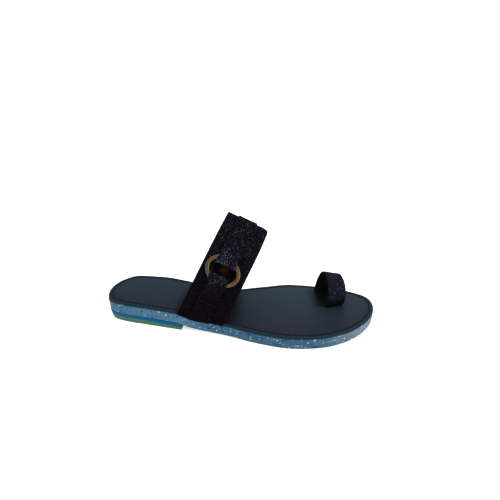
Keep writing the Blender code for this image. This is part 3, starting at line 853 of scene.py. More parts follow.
def strip_surface(side):
    """Outer face of the strip on one side of the ring, from its landing on the band to its folded end.

    It hugs the band, climbs the ring's bar, folds half a turn and runs back below; near the ring each column
    is measured from the ring's middle, so that the fold is square to the strip. Returns the face and the wall
    below each of its points, which is skived thin towards the sole.
    """
    lift = GAP + STRAP_WALL
    shares = inset_shares(STRAP_COLUMNS, STRAP_SHARE * BAND_WIDTH, STRAP_WALL) - 0.5
    band = band_surface(STRAP_MIDDLE + STRAP_SHARE * shares, STRAP_TUCK)
    surface = band + lift * sheet_normals(band)
    girth = run_length(surface)
    seat = ring_seat()
    wall = slice(TUCK_POINTS + CORNER_POINTS, TUCK_POINTS + CORNER_POINTS + ARCH_POINTS // 2)
    centre = np.array([np.interp(0.0, (surface[wall, j] - seat.place) @ seat.along, girth[wall, j])
                       for j in range(len(shares))])

    distance = (girth.mean(axis=1) - centre.mean()) * side
    far = np.flatnonzero(distance > STRAP_LANDING[1])
    far = far[np.argsort(-distance[far])]
    top = 2.0 * lift + RING_BAR_THICKNESS + GAP
    fold = (top - GAP) / 2.0
    angle = np.radians(np.linspace(90.0, -90.0, FOLD_STEPS + 1))
    climb = np.linspace(STRAP_LANDING[1], SLOT_HALF + fold, CLIMB_STEPS, endpoint=False)
    turn = SLOT_HALF + fold - fold * np.cos(angle)
    back = np.linspace(SLOT_HALF + fold, RETURN_END, RETURN_STEPS + 1)[1:]
    away = np.concatenate([distance[far], climb, turn, back])
    ridge = len(far) + len(climb)
    level = np.full(len(away), top)
    level[ridge:] = GAP
    level[ridge:ridge + len(turn)] += fold + fold * np.sin(angle)
    hugs = smooth_step(away, *STRAP_LANDING)
    hugs[ridge:] = 0.0

    wanted = centre + side * away[:, None]
    own_line = smooth_step(distance[far], *SQUARE_REACH)[:, None]
    wanted[:len(far)] += own_line * (girth[far] - wanted[:len(far)])
    points = at_girth(surface, girth, wanted)
    outward_way = unit(at_girth(sheet_normals(surface), girth, wanted))
    rise = (level[:, None] - (points - seat.place) @ seat.normal) / (outward_way @ seat.normal)
    outer = points + ((1.0 - hugs[:, None]) * rise)[..., None] * outward_way
    height = outer[..., 2] - sole_top(outer[..., 0])
    skive = STRAP_SKIVE * fade_out(height, 0.0, SKIVED_BELOW)
    outer = outer - skive[..., None] * outward_way
    return outer[::-side], (STRAP_WALL - skive)[::-side]


def ring_grid():
    """Flat oval ring: a rounded bar, a superellipse, carried square round an ellipse in its seat's plane."""
    seat = ring_seat()
    centre = seat.place + seat.normal * (2.0 * GAP + STRAP_WALL + RING_BAR_THICKNESS / 2.0)
    aside = np.cross(seat.normal, seat.along)
    roll = np.radians(RING_ROLL)
    long_way = np.cos(roll) * aside + np.sin(roll) * seat.along
    short_way = np.cos(roll) * seat.along - np.sin(roll) * aside
    turn = whole_turn(RING_STEPS)[:, None]
    path = centre + RING_HALF_LENGTH * np.cos(turn) * long_way + RING_HALF_WIDTH * np.sin(turn) * short_way
    square = unit(RING_HALF_WIDTH * np.cos(turn) * long_way + RING_HALF_LENGTH * np.sin(turn) * short_way)
    angle = whole_turn(RING_PROFILE_STEPS)[:, None]
    reach, rise = (np.sign(wave) * np.abs(wave) ** RING_BAR_SQUARENESS
                   for wave in (np.cos(angle), np.sin(angle)))
    return (path[:, None] + RING_BAR_WIDTH / 2.0 * reach * square[:, None]
            + RING_BAR_THICKNESS / 2.0 * rise * seat.normal)


def stitch_grid(path, sizes):
    """Stitches along a closed path: stitch i is a short thread whose ends dip, its thickness an ellipse's."""
    closed = np.concatenate([path, path[:1]])
    run = run_length(closed)
    count = int(round(run[-1] * MM / sizes.stitch_pitch))
    step = np.linspace(-1.0, 1.0, STITCH_STEPS)
    start = (np.arange(count) + 0.5)[:, None] * run[-1] / count
    place = (start + step * sizes.stitch_length / MM / 2.0).ravel()
    line, ahead = (read_along(closed, run, place + shift, run[-1]) for shift in (0.0, STITCH_AHEAD))
    tangent = unit(ahead - line)
    side = unit(np.cross(tangent, [0.0, 0.0, 1.0]))
    up = np.cross(side, tangent)
    bulge = np.tile(np.sqrt(np.clip(1.0 - step ** 4, 0.0, 1.0)), count)[:, None, None]
    turn = whole_turn(STITCH_SIDES)[None, :, None]
    thread = sizes.thread / MM / 2.0
    dip = thread * np.tile(STITCH_DIP * step ** 4, count)[:, None]
    centre = line + (STITCH_RISE * thread - dip) * [0.0, 0.0, 1.0]
    return centre[:, None] + thread * bulge * (np.cos(turn) * side[:, None] + np.sin(turn) * up[:, None])


def add_node(tree, kind, inputs=None, **settings):
    """Add a node, or take one that is there, set its properties, and link or set its inputs.

    A node given as an input stands for its first output that is in use.
    """
    node = kind if isinstance(kind, bpy.types.Node) else tree.nodes.new("ShaderNode" + kind)
    for key, value in settings.items():
        setattr(node, key, value)
    for key, value in (inputs or {}).items():
        socket = node.inputs[key]
        if isinstance(value, bpy.types.Node):
            value = next(output for output in value.outputs if output.enabled)
        if isinstance(value, bpy.types.NodeSocket):
            tree.links.new(value, socket)
        else:
            socket.default_value = (*value, 1.0) if socket.type == "RGBA" else value
    return node


def new_material(name):
    """Empty Principled material: the material, its tree and its shader."""
    made = bpy.data.materials.new(name)
    made.use_nodes = True
    return made, made.node_tree, made.node_tree.nodes["Principled BSDF"]


def pattern_scale(millimetres):
    """Scale of a texture whose pattern has the given size."""
    return 1.0 / (millimetres * MM)


def wave_scale(spacing):
    """Scale of a wave texture with ridges spaced in metres; its sine repeats every 2 pi / 20 at scale 1."""
    return 2.0 * np.pi / 20.0 / spacing


def crumb_foam(sizes, colours):
    """Sawn crumb foam: matt, finely pitted, pale blue with torn crumbs of white and navy drawn out long."""
    made, tree, shader = new_material("crumb foam, sawn")
    place = add_node(tree, "TexCoord").outputs["Object"]
    drawn = add_node(tree, "Mapping", {"Vector": place, "Scale": (0.55, 1.0, 1.0)})
    moved = add_node(tree, "Mapping",
                     {"Vector": place, "Location": (0.4, 0.2, 0.7), "Scale": (0.5, 1.0, 1.1)})
    clouds = add_node(tree, "TexNoise", {"Vector": drawn, "Scale": pattern_scale(FOAM_CLOUD), "Detail": 4.0})
    along = add_node(tree, "SeparateXYZ", {"Vector": place})
    ball = add_node(tree, "MapRange", {
        "Value": along, "From Min": FOAM_DEEPENS.start * MM, "From Max": FOAM_DEEPENS.end * MM,
        "To Max": -0.45}, interpolation_type="SMOOTHSTEP")
    deepened = add_node(tree, "Math", {0: clouds, 1: ball}, operation="ADD", use_clamp=True)
    ground = add_node(tree, "Mix", {"Factor": deepened, FROM_COLOUR: colours.foam_deep,
                                    TO_COLOUR: colours.foam}, data_type="RGBA")
    # Painted light: the foam pales towards the toe
    toe = add_node(tree, "MapRange", {
        "Value": along, "From Min": FOAM_TOE_LIGHT.start * MM, "From Max": FOAM_TOE_LIGHT.end * MM,
        "To Max": 0.5}, interpolation_type="SMOOTHSTEP")
    shade = add_node(tree, "Mix", {"Factor": toe, FROM_COLOUR: ground, TO_COLOUR: colours.foam_toe_light},
                     data_type="RGBA")
    for row in FOAM_CRUMBS:
        cells = add_node(tree, "TexVoronoi", {
            "Vector": moved if row.moved else drawn, "Scale": 1.0 / (sizes.fleck * row.pitch)}, feature="F1")
        chance = add_node(tree, "SeparateColor", {"Color": cells.outputs["Color"]})
        picked = add_node(tree, "MapRange",
                          {"Value": chance, "From Min": row.plain, "From Max": row.plain + 0.2})
        reach = add_node(tree, "MapRange", {"Value": chance.outputs[1], "To Min": 0.3, "To Max": 0.55})
        inside = add_node(tree, "Math", {0: reach, 1: cells}, operation="SUBTRACT")
        soft = add_node(tree, "MapRange", {"Value": inside, "From Max": 0.15})
        crumb = add_node(tree, "Math", {0: soft, 1: picked}, operation="MULTIPLY")
        shade = add_node(tree, "Mix", {"Factor": crumb, FROM_COLOUR: shade,
                                       TO_COLOUR: getattr(colours, row.tone)}, data_type="RGBA")
    pits = add_node(tree, "TexNoise", {"Vector": place, "Scale": pattern_scale(FOAM_PIT), "Detail": 3.0})
    bump = add_node(tree, "Bump", {"Strength": 0.35, "Distance": 0.25 * MM, "Height": pits})
    add_node(tree, shader, {
        "Base Color": shade, "Roughness": 0.85, "Specular IOR Level": 0.1, "Normal": bump})
    return made


def cut_foam(colours):
    """Dyed foam sheet cut to a wedge: one deep blue, matt, with faint cloudy wear."""
    made, tree, shader = new_material("dyed foam, cut")
    place = add_node(tree, "TexCoord").outputs["Object"]
    cloud = add_node(tree, "TexNoise", {"Vector": place, "Scale": pattern_scale(WEDGE_CLOUD), "Detail": 4.0})
    ground = add_node(tree, "Mix", {"Factor": cloud, FROM_COLOUR: colours.lift,
                                    TO_COLOUR: [1.5 * value for value in colours.lift]}, data_type="RGBA")
    pits = add_node(tree, "TexNoise", {"Vector": place, "Scale": pattern_scale(WEDGE_PIT)})
    bump = add_node(tree, "Bump", {"Strength": 0.3, "Distance": 0.2 * MM, "Height": pits})
    add_node(tree, shader, {
        "Base Color": ground, "Roughness": 0.75, "Specular IOR Level": 0.05, "Normal": bump})
    return made


def heel_rubber(colours):
    """Moulded rubber of the heel: satin sea green that turns mossier and dustier towards the floor."""
    made, tree, shader = new_material("heel rubber, moulded")
    place = add_node(tree, "TexCoord").outputs["Object"]
    height = add_node(tree, "SeparateXYZ", {"Vector": place}).outputs["Z"]
    rise = add_node(tree, "MapRange", {"Value": height, "From Max": TOP_PIECE_BACK * MM})
    cloud = add_node(tree, "TexNoise", {"Vector": place, "Scale": pattern_scale(RUBBER_CLOUD), "Detail": 5.0})
    uneven = add_node(tree, "Math", {0: cloud, 1: 0.6, 2: rise}, operation="MULTIPLY_ADD")
    faded = add_node(tree, "MapRange", {"Value": uneven, "From Min": 0.45, "From Max": 1.35})
    ground = add_node(tree, "Mix", {"Factor": faded, FROM_COLOUR: colours.rubber_lower,
                                    TO_COLOUR: colours.rubber_upper}, data_type="RGBA")
    grit = add_node(tree, "TexNoise", {"Vector": place, "Scale": pattern_scale(RUBBER_GRIT), "Detail": 3.0})
    bump = add_node(tree, "Bump", {"Strength": 0.25, "Distance": 0.2 * MM, "Height": grit})
    add_node(tree, shader, {
        "Base Color": ground, "Roughness": 0.65, "Specular IOR Level": 0.25, "Normal": bump})
    return made


def leather_board(sizes, colours):
    """Pressed leather board: slate, finely pebbled, satin, bluer outside the stitches, its edge dyed dark,
    carrying painted sheen and painted shade.
    """
    made, tree, shader = new_material("leather board, pressed")
    place = add_node(tree, "TexCoord").outputs["Object"]
    cloud = add_node(tree, "TexNoise", {"Vector": place, "Scale": pattern_scale(BOARD_CLOUD), "Detail": 5.0})
    across = add_node(tree, "SeparateXYZ", {"Vector": place}).outputs["Y"]
    # Painted sheen: cooler and lighter towards the inner side
    inner = add_node(tree, "MapRange", {
        "Value": across, "From Min": BOARD_SHEEN_ACROSS.start * MM, "From Max": BOARD_SHEEN_ACROSS.end * MM,
        "To Min": -0.15, "To Max": 0.75})
    cool_and_sheen = add_node(tree, "Math", {0: cloud, 1: 0.4, 2: inner}, operation="MULTIPLY_ADD", use_clamp=True)
    shade = add_node(tree, "Mix", {"Factor": cool_and_sheen, FROM_COLOUR: colours.board,
                                   TO_COLOUR: colours.board_cool_and_sheen}, data_type="RGBA")
    # Border colour, then painted shade below the straps and in the stitch groove, then the dyed edge with its
    # painted shade
    for mask, tone in (("border", colours.border), ("painted_shade_mask", colours.painted_shade), ("edge", colours.edge)):
        covers = add_node(tree, "Attribute", attribute_name=mask).outputs["Fac"]
        shade = add_node(tree, "Mix", {"Factor": covers, FROM_COLOUR: shade, TO_COLOUR: tone},
                         data_type="RGBA")
    pebbles = add_node(tree, "TexVoronoi", {"Vector": place, "Scale": 1.0 / sizes.grain}, feature="F1")
    fibre = add_node(tree, "TexNoise", {"Vector": place, "Scale": pattern_scale(BOARD_FIBRE), "Detail": 3.0})
    height = add_node(tree, "Math", {0: fibre, 1: 0.6, 2: pebbles}, operation="MULTIPLY_ADD")
    bump = add_node(tree, "Bump", {"Strength": 0.22, "Distance": 0.12 * MM, "Height": height})
    gloss = add_node(tree, "MapRange", {"Value": cloud, "To Min": 0.45, "To Max": 0.6})
    add_node(tree, shader, {
        "Base Color": shade, "Roughness": gloss, "Specular IOR Level": 0.025, "Normal": bump})
    return made


def glitter_weave(name, sizes, colours, cool, full_height, painted_slot_place=None, spark_place=None):
    """Woven fabric with flat metallised floats: near black, matt, with faint slubs and grey-blue glints.

    The floats and the cool yarns thin out below full_height, in millimetres over the floor, as painted shade.
    painted_slot_place is a point round which they are taken off as painted shade inside the ring and the
    ground takes a painted reflection of the brass, and spark_place one round which the floats lie closer.
    """
    made, tree, shader = new_material(name)
    flat = add_node(tree, "UVMap", uv_map="weave")
    place = add_node(tree, "TexCoord").outputs["Object"]
    ridges = {"Vector": flat, "Scale": wave_scale(sizes.yarn), "Distortion": 0.6, "Detail": 2.0,
              "Detail Scale": 0.4}
    warp, weft = (add_node(tree, "TexWave", ridges, bands_direction=way).outputs["Fac"] for way in ("X", "Y"))
    weave = add_node(tree, "Math", {0: warp, 1: weft}, operation="MULTIPLY")
    cells = add_node(tree, "TexVoronoi", {"Vector": flat, "Scale": 1.0 / sizes.glitter},
                     voronoi_dimensions="2D", feature="F1")
    chance = add_node(tree, "SeparateColor", {"Color": cells.outputs["Color"]})
    clouds = add_node(tree, "TexNoise", {"Vector": flat, "Scale": pattern_scale(WEAVE_CLOUD), "Detail": 3.0})
    height = add_node(tree, "SeparateXYZ", {"Vector": place}).outputs["Z"]
    rise = {"Value": height, "From Min": GLITTER_STARTS * full_height * MM, "From Max": full_height * MM}
    raised = add_node(tree, "MapRange", rise)
    dense = add_node(tree, "MapRange", {**rise, "To Min": -0.62, "To Max": -0.2})
    uneven = add_node(tree, "Math", {0: clouds, 1: 0.4, 2: chance}, operation="MULTIPLY_ADD")
    thinned = add_node(tree, "Math", {0: uneven, 1: dense}, operation="ADD")
    if spark_place is not None:
        away = add_node(tree, "VectorMath", {0: place, 1: tuple(spark_place)}, operation="DISTANCE")
        close = add_node(tree, "MapRange", {
            "Value": away, "From Min": GLITTER_CLOSE.end * MM, "From Max": GLITTER_CLOSE.start * MM,
            "To Max": 0.3})
        thinned = add_node(tree, "Math", {0: thinned, 1: close}, operation="ADD")
    picked = add_node(tree, "MapRange", {"Value": thinned, "From Min": 0.7, "From Max": 1.26},
                      interpolation_type="SMOOTHSTEP")
    dot = add_node(tree, "MapRange", {"Value": cells, "From Min": 0.42, "From Max": 0.15})
    points = add_node(tree, "Math", {0: picked, 1: dot}, operation="MULTIPLY")
    long_yarns = add_node(tree, "Mapping", {"Vector": flat, "Scale": (0.35, 1.0, 1.0)})
    slubs = add_node(tree, "TexNoise",
                     {"Vector": long_yarns, "Scale": pattern_scale(WEAVE_SLUB), "Detail": 2.0})
    faint = add_node(tree, "MapRange", {"Value": slubs, "From Min": 0.52, "From Max": 0.75, "To Max": 0.06},
                     interpolation_type="SMOOTHSTEP")
    shine = add_node(tree, "Math", {0: points, 1: faint}, operation="MAXIMUM")
    yarns = add_node(tree, "Math", {0: weave, 1: 0.6, 2: 0.4}, operation="MULTIPLY_ADD")
    # Painted shade: the cool yarns fade out towards the floor
    yarns_lit_above = add_node(tree, "Math", {0: raised, 1: yarns}, operation="MULTIPLY")
    shade = add_node(tree, "Mix", {"Factor": yarns_lit_above, FROM_COLOUR: colours.fabric, TO_COLOUR: cool},
                     data_type="RGBA")
    if painted_slot_place is not None:
        away = add_node(tree, "VectorMath", {0: place, 1: tuple(painted_slot_place)}, operation="DISTANCE")
        # Painted shade inside the ring: the glitter and cool yarns are taken off there
        outside_slot_shade = add_node(tree, "MapRange", {
            "Value": away, "From Min": SLOT_SHADE_SPAN.start * MM, "From Max": SLOT_SHADE_SPAN.end * MM})
        slot_shaded = add_node(tree, "Mix", {"Factor": outside_slot_shade, FROM_COLOUR: colours.fabric, TO_COLOUR: shade},
                          data_type="RGBA")
        # Painted reflection of the brass ring on the fabric inside it
        reflected_brass = add_node(tree, "MapRange", {"Value": away, "From Min": BRASS_REFLECTION_REACH * MM, "From Max": 0.0},
                        interpolation_type="SMOOTHSTEP")
        shade = add_node(tree, "Mix", {"Factor": reflected_brass, FROM_COLOUR: slot_shaded, TO_COLOUR: colours.painted_brass_reflection},
                         data_type="RGBA")
        shine = add_node(tree, "Math", {0: shine, 1: outside_slot_shade}, operation="MULTIPLY")
    lit = add_node(tree, "Mix", {"Factor": shine, FROM_COLOUR: shade, TO_COLOUR: colours.glitter},
                   data_type="RGBA")
    gloss = add_node(tree, "MapRange", {"Value": shine, "To Min": 0.85, "To Max": 0.4})
    relief = add_node(tree, "Math", {0: shine, 1: 0.4, 2: weave}, operation="MULTIPLY_ADD")
    bump = add_node(tree, "Bump", {"Strength": 0.5, "Distance": 0.35 * MM, "Height": relief})
    add_node(tree, shader, {
        "Base Color": lit, "Roughness": gloss, "Specular IOR Level": 0.01, "Normal": bump})
    return made


def coated_lining(colours):
    """Coated lining cloth: smooth, black and slightly glossy, with a faint fine grain."""
    made, tree, shader = new_material("lining cloth, coated")
    place = add_node(tree, "TexCoord").outputs["Object"]
    grain = add_node(tree, "TexVoronoi", {"Vector": place, "Scale": pattern_scale(LINING_GRAIN)},
                     feature="F1")
    bump = add_node(tree, "Bump", {"Strength": 0.2, "Distance": 0.1 * MM, "Height": grain})
    gloss = add_node(tree, "MapRange", {"Value": grain, "To Min": 0.5, "To Max": 0.7})
    add_node(tree, shader, {
        "Base Color": colours.lining, "Roughness": gloss, "Specular IOR Level": 0.1, "Normal": bump})
    return made


def stamped_brass(colours):
    """Stamped brass, tumbled smooth: yellow metal with soft highlights and cloudy tarnish."""
    made, tree, shader = new_material("brass, stamped and tumbled")
    place = add_node(tree, "TexCoord").outputs["Object"]
    cloud = add_node(tree, "TexNoise", {"Vector": place, "Scale": pattern_scale(BRASS_CLOUD), "Detail": 5.0})
    tone = add_node(tree, "Mix", {"Factor": cloud, FROM_COLOUR: colours.brass_deep,
                                  TO_COLOUR: colours.brass}, data_type="RGBA")
    marks = add_node(tree, "TexNoise", {"Vector": place, "Scale": pattern_scale(BRASS_MARK), "Detail": 2.0})
    bump = add_node(tree, "Bump", {"Strength": 0.12, "Distance": 0.08 * MM, "Height": marks})
    gloss = add_node(tree, "MapRange", {"Value": cloud, "To Min": 0.48, "To Max": 0.3})
    add_node(tree, shader, {"Base Color": tone, "Metallic": 1.0, "Roughness": gloss, "Normal": bump})
    return made


def waxed_thread(colours):
    """Waxed sewing thread: near black, with the slanting ridges of its twist."""
    made, tree, shader = new_material("sewing thread, waxed")
    place = add_node(tree, "TexCoord").outputs["Object"]
    twist = add_node(tree, "TexWave", {"Vector": place, "Scale": wave_scale(THREAD_TWIST * MM)},
                     bands_direction="DIAGONAL").outputs["Fac"]
    bump = add_node(tree, "Bump", {"Strength": 0.4, "Distance": 0.1 * MM, "Height": twist})
    add_node(tree, shader, {
        "Base Color": colours.thread, "Roughness": 0.6, "Specular IOR Level": 0.15, "Normal": bump})
    return made


def finishes(context):
    """The scene's size and colour settings."""
    return context.scene.sandal_sizes, context.scene.sandal_colours


class SANDAL_OT_sole(bpy.types.Operator):
    """Build the foam sole with its undercut side, round lower edge and recesses for the tucked fabric"""

    bl_idname = "sandal.sole"
    bl_label = "Foam sole"

    def execute(self, context):
        sizes, colours = finishes(context)
        insets = np.arange(0.5, SOLE_REACH - 0.5)
        rings = layer_rings(SOLE_REACH, insets, SOLE_SPINE_RINGS, SOLE_UPPER_EDGE, sizes.sole_edge / MM,
                            SOLE_UNDERCUT)

        def sink(plan, inset):
            strip_depth = BAND_FOLD.depth + GAP + STRAP_WALL - STRAP_SKIVE + SEAT
            band = (BAND_FOLD.depth + SEAT) * pocket(plan, BAND_TUCK)
            strip = strip_depth * pocket(plan, STRAP_TUCK, *STRAP_EDGES)
            loop = (LOOP_FOLD.depth + SEAT) * beside_loop(plan, LOOP_POCKET)
            return np.maximum(np.maximum(band, strip), loop)

        grid = layer_grid(sole_outline, rings, SOLE_SPINE, underside, sole_top, sink=sink)
        sole = make_piece("foam_sole", grid, [crumb_foam(sizes, colours)])
        dress(sole, "speckled_foam", "outsole")
        return {"FINISHED"}


class SANDAL_OT_heel(bpy.types.Operator):
    """Build the heel's deep blue wedge and the green rubber under it"""

    bl_idname = "sandal.heel"
    bl_label = "Heel layers"

    def execute(self, context):
        colours = finishes(context)[1]
        layers = (
            ("heel_wedge", "heel_lift", "blue_foam", cut_foam, LIFT_INSET, TOP_PIECE_INSET - LIFT_INSET,
             LIFT_LOWER_EDGE, lambda x: top_piece_top(x) + GAP / 2.0, lambda x: underside(x) - GAP / 6.0),
            ("heel_rubber", "heel_top_piece", "green_rubber", heel_rubber, TOP_PIECE_INSET, TOP_PIECE_TAPER,
             TOP_PIECE_LOWER_EDGE, np.zeros_like, lambda x: top_piece_top(x) + GAP / 3.0),
        )
        for name, node, slot, finish, inset, taper, edge, bottom, top in layers:
            rings = layer_rings(HEEL_REACH, HEEL_INSETS, HEEL_SPINE_RINGS, HEEL_UPPER_EDGE, edge, taper)
            rings = rings._replace(inset=rings.inset + inset)
            grid = layer_grid(heel_outline, rings, HEEL_SPINE, bottom, top)
            dress(make_piece(name, grid, [finish(colours)]), slot, node)
        return {"FINISHED"}


class SANDAL_OT_footbed(bpy.types.Operator):
    """Build the leather board with its stitch groove, and the stitches in it"""

    bl_idname = "sandal.footbed"
    bl_label = "Footbed and stitches"

    def execute(self, context):
        sizes, colours = finishes(context)
        line, wide, depth = sizes.stitch_inset / MM, sizes.groove_width / MM, sizes.groove_depth / MM
        insets = np.append(BOARD_INSETS, line + wide * np.linspace(-1.0, 1.0, GROOVE_RINGS))
        rings = layer_rings(BOARD_REACH, insets, BOARD_SPINE_RINGS, sizes.board_edge / MM, FOOTBED_LOWER_EDGE,
                            undercut=0.0)
        loop = sole_outline(np.full((1, 1), FOOTBED_INSET))[0]
        notch = (BAND_WALL - BAND_PROUD + GAP - FOOTBED_INSET) * under_band(loop)

        def bottom(x):
            return sole_top(x) + GAP / 3.0

        def top(x):
            return sole_top(x) + GAP + FOOTBED_THICKNESS

        def sink(plan, inset):
            pressed = depth * np.exp(-((inset - FOOTBED_INSET - line) / wide * 2.0) ** 2)
            return pressed + DIMPLE_DEPTH * beside_loop(plan, LOOP_DIMPLE)

        def hollow(plan):
            return (BAND_WALL - BAND_FOLD.depth) * pocket(plan, BAND_TUCK)

        board = rings._replace(inset=rings.inset + FOOTBED_INSET)
        grid = layer_grid(sole_outline, board, SOLE_SPINE, bottom, top, notch=notch, sink=sink, hollow=hollow)
        rim = rings.blend == 0.0
        # Painted shade in the stitch groove
        groove_painted_shade = np.exp(-((rings.inset - line) / wide) ** 2)
        masks = {
            "border": fade_out(rings.inset, line - BORDER_EASE, line + BORDER_EASE) * rim,
            "edge": fade_out(rings.inset, *EDGE_DYE_AND_SHADE) * rim,
            # Painted shade below and beside the straps and in the stitch groove
            "painted_shade_mask": np.maximum(painted_shade(grid[..., :2]), GROOVE_PAINTED_SHADE * groove_painted_shade * rim),
        }
        piece = make_piece("footbed_board", grid, [leather_board(sizes, colours)], masks=masks)
        dress(piece, "slate_board", "footbed")
        path = loop - line * outward(loop)
        stitches = stitch_grid(np.column_stack([path, top(path[:, 0]) - depth]), sizes)
        threads = make_piece("footbed_stitches", stitches, [waxed_thread(colours)], run=STITCH_STEPS)
        dress(threads, "dark_fabric")
        return {"FINISHED"}


class SANDAL_OT_band(bpy.types.Operator):
    """Build the wide woven band over the instep, lined inside"""

    bl_idname = "sandal.band"
    bl_label = "Instep band"

    def execute(self, context):
        sizes, colours = finishes(context)
        surface = band_surface(inset_shares(BAND_COLUMNS, BAND_WIDTH, BAND_WALL), BAND_TUCK)
        grid, uv = fabric_shell(creased(eased_corner(surface), BAND_CREASES), BAND_WALL)
        weave = glitter_weave("glitter weave of the band", sizes, colours, colours.fabric_cool,
                              BAND_GLITTER_HEIGHT, painted_slot_place=in_frame(ring_seat().place + PAINTED_SLOT_SHIFT))
        band = make_piece("instep_fabric", grid, [weave, coated_lining(colours)], uv=uv,
                          face_slots=lined_faces(BAND_COLUMNS))
        dress(band, "dark_fabric", "instep_band")
        return {"FINISHED"}


class SANDAL_OT_strips(bpy.types.Operator):
    """Build the two narrow strips that fold round the ring"""

    bl_idname = "sandal.strips"
    bl_label = "Ring strips"

    def execute(self, context):
        sizes, colours = finishes(context)
        weave = glitter_weave("glitter weave of the strips", sizes, colours, colours.fabric_cool,
                              BAND_GLITTER_HEIGHT, spark_place=in_frame(ring_seat().place))
        strips = (("strip_over_top", "ring_strap_upper", 1), ("strip_outer", "ring_strap_lower", -1))
        for name, node, side in strips:
            grid, uv = fabric_shell(*strip_surface(side))
            dress(make_piece(name, grid, [weave], uv=uv), "dark_fabric", node)
        return {"FINISHED"}


class SANDAL_OT_ring(bpy.types.Operator):
    """Build the flat brass ring"""

    bl_idname = "sandal.ring"
    bl_label = "Brass ring"

    def execute(self, context):
        colours = finishes(context)[1]
        ring = make_piece("brass_ring", ring_grid(), [stamped_brass(colours)], wrap=(True, True))
        dress(ring, "brass", "ring")
        return {"FINISHED"}


class SANDAL_OT_toe_loop(bpy.types.Operator):
    """Build the loop for the big toe"""

    bl_idname = "sandal.toe_loop"
    bl_label = "Toe loop"

    def execute(self, context):
        sizes, colours = finishes(context)
        surface = loop_surface(inset_shares(LOOP_COLUMNS, LOOP_WIDTH, LOOP_WALL))
        grid, uv = fabric_shell(creased(surface, LOOP_CREASES), LOOP_WALL)
        weave = glitter_weave("glitter weave of the toe loop", sizes, colours, colours.loop_cool,
                              LOOP_GLITTER_HEIGHT)
        toe = make_piece("toe_fabric", grid, [weave, coated_lining(colours)], uv=uv,
                         face_slots=lined_faces(LOOP_COLUMNS))
        dress(toe, "dark_fabric", "toe_loop")
        return {"FINISHED"}


def look_from(place, forward):
    """World matrix of a lamp or camera at a place, looking forward, with no roll."""
    back = -unit(np.asarray(forward, float))
    right = unit(np.cross([0.0, 0.0, 1.0], back))
    axes = np.stack([right, np.cross(back, right), back, np.asarray(place, float)], axis=1)
    return Matrix([*axes.tolist(), [0.0, 0.0, 0.0, 1.0]])


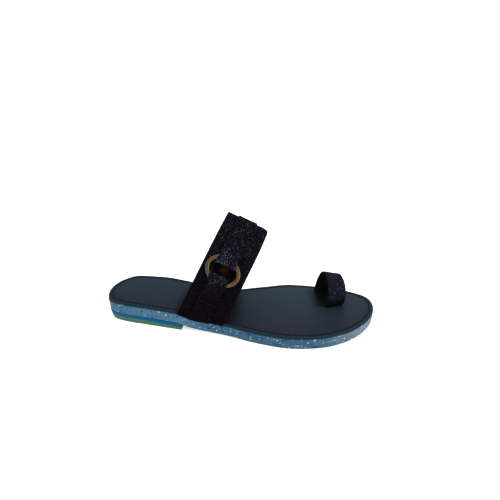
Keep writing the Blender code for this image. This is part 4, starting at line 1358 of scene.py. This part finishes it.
class SANDAL_OT_stage(bpy.types.Operator):
    """Set the pale floor, the soft lights and the photograph's camera"""

    bl_idname = "sandal.stage"
    bl_label = "Stage"

    def execute(self, context):
        scene = context.scene
        colours = finishes(context)[1]
        made, tree, shader = new_material("paper floor")
        add_node(tree, shader, {"Base Color": colours.floor, "Roughness": 0.9,
                                "Emission Color": colours.floor, "Emission Strength": FLOOR_GLOW})
        turn = whole_turn(FLOOR_SIDES)[:, None]
        radius = np.array(FLOOR_RADII)
        plane = np.stack([radius * np.cos(turn), radius * np.sin(turn), 0.0 * radius * turn], axis=2)
        floor = make_piece("floor", plane + [LENGTH / 2.0, -AXIS_Y, 0.0], [made], wrap=(True, False))

        world = bpy.data.worlds.new("studio")
        world.use_nodes = True
        tree = world.node_tree
        way = add_node(tree, "TexCoord").outputs["Generated"]
        rise = add_node(tree, "SeparateXYZ", {"Vector": way}).outputs["Z"]
        sky = add_node(tree, "ValToRGB", {"Fac": rise})
        stops = sky.color_ramp.elements
        while len(stops) < len(STUDIO_SKY):
            stops.new(1.0)
        for stop, row in zip(stops, STUDIO_SKY):
            stop.position = row.rise
            stop.color = (row.share, row.share, row.share, 1.0)
        add_node(tree, tree.nodes["Background"], {"Color": sky, "Strength": SKY_STRENGTH})
        scene.world = world
        for row in LAMPS:
            light = bpy.data.lights.new(row.name, "AREA")
            light.size = row.size * MM
            light.energy = row.power
            light.color = row.tint
            lamp = bpy.data.objects.new(row.name, light)
            lamp.matrix_world = look_from(np.array(row.place) * MM, np.subtract(LAMP_AIM, row.place))
            scene.collection.objects.link(lamp)

        azimuth, elevation = np.radians(CAMERA_AZIMUTH), np.radians(CAMERA_ELEVATION)
        forward = np.array([-np.sin(azimuth) * np.cos(elevation), np.cos(azimuth) * np.cos(elevation),
                            -np.sin(elevation)])
        lens = bpy.data.cameras.new("camera")
        lens.sensor_width = SENSOR_WIDTH
        lens.lens = CAMERA_FOCAL_PIXELS / IMAGE_PIXELS * SENSOR_WIDTH
        lens.clip_start = CAMERA_NEAR * MM
        camera = bpy.data.objects.new("camera", lens)
        camera.matrix_world = look_from(np.array(CAMERA_PLACE) * MM, forward)
        scene.collection.objects.link(camera)
        scene.camera = camera
        scene.view_settings.view_transform = "Standard"
        return {"FINISHED"}


class SANDAL_PT_panel(bpy.types.Panel):
    """Lists the sandal's sizes, colours and pieces"""

    bl_idname = "SANDAL_PT_panel"
    bl_label = "Toe-loop sandal"
    bl_space_type = "VIEW_3D"
    bl_region_type = "UI"
    bl_category = "Sandal"

    def draw(self, context):
        for group in finishes(context):
            box = self.layout.box()
            for key in group.bl_rna.properties.keys():
                if key not in ("rna_type", "name"):
                    box.prop(group, key)
        for step in OPERATORS:
            self.layout.operator(step.bl_idname)


OPERATORS = (
    SANDAL_OT_stage,
    SANDAL_OT_sole,
    SANDAL_OT_heel,
    SANDAL_OT_footbed,
    SANDAL_OT_band,
    SANDAL_OT_strips,
    SANDAL_OT_ring,
    SANDAL_OT_toe_loop,
)
CLASSES = (SandalSizes, SandalColours, *OPERATORS, SANDAL_PT_panel)


def register():
    """Register the classes and hang the settings on the scene."""
    for item in CLASSES:
        bpy.utils.register_class(item)
    bpy.types.Scene.sandal_sizes = PointerProperty(type=SandalSizes)
    bpy.types.Scene.sandal_colours = PointerProperty(type=SandalColours)


def unregister():
    """Take the settings and classes away again."""
    del bpy.types.Scene.sandal_colours
    del bpy.types.Scene.sandal_sizes
    for item in reversed(CLASSES):
        bpy.utils.unregister_class(item)


def main():
    """Build the sandal and its stage."""
    register()
    for step in OPERATORS:
        group, name = step.bl_idname.split(".")
        getattr(getattr(bpy.ops, group), name)()


if __name__ == "__main__":
    main()
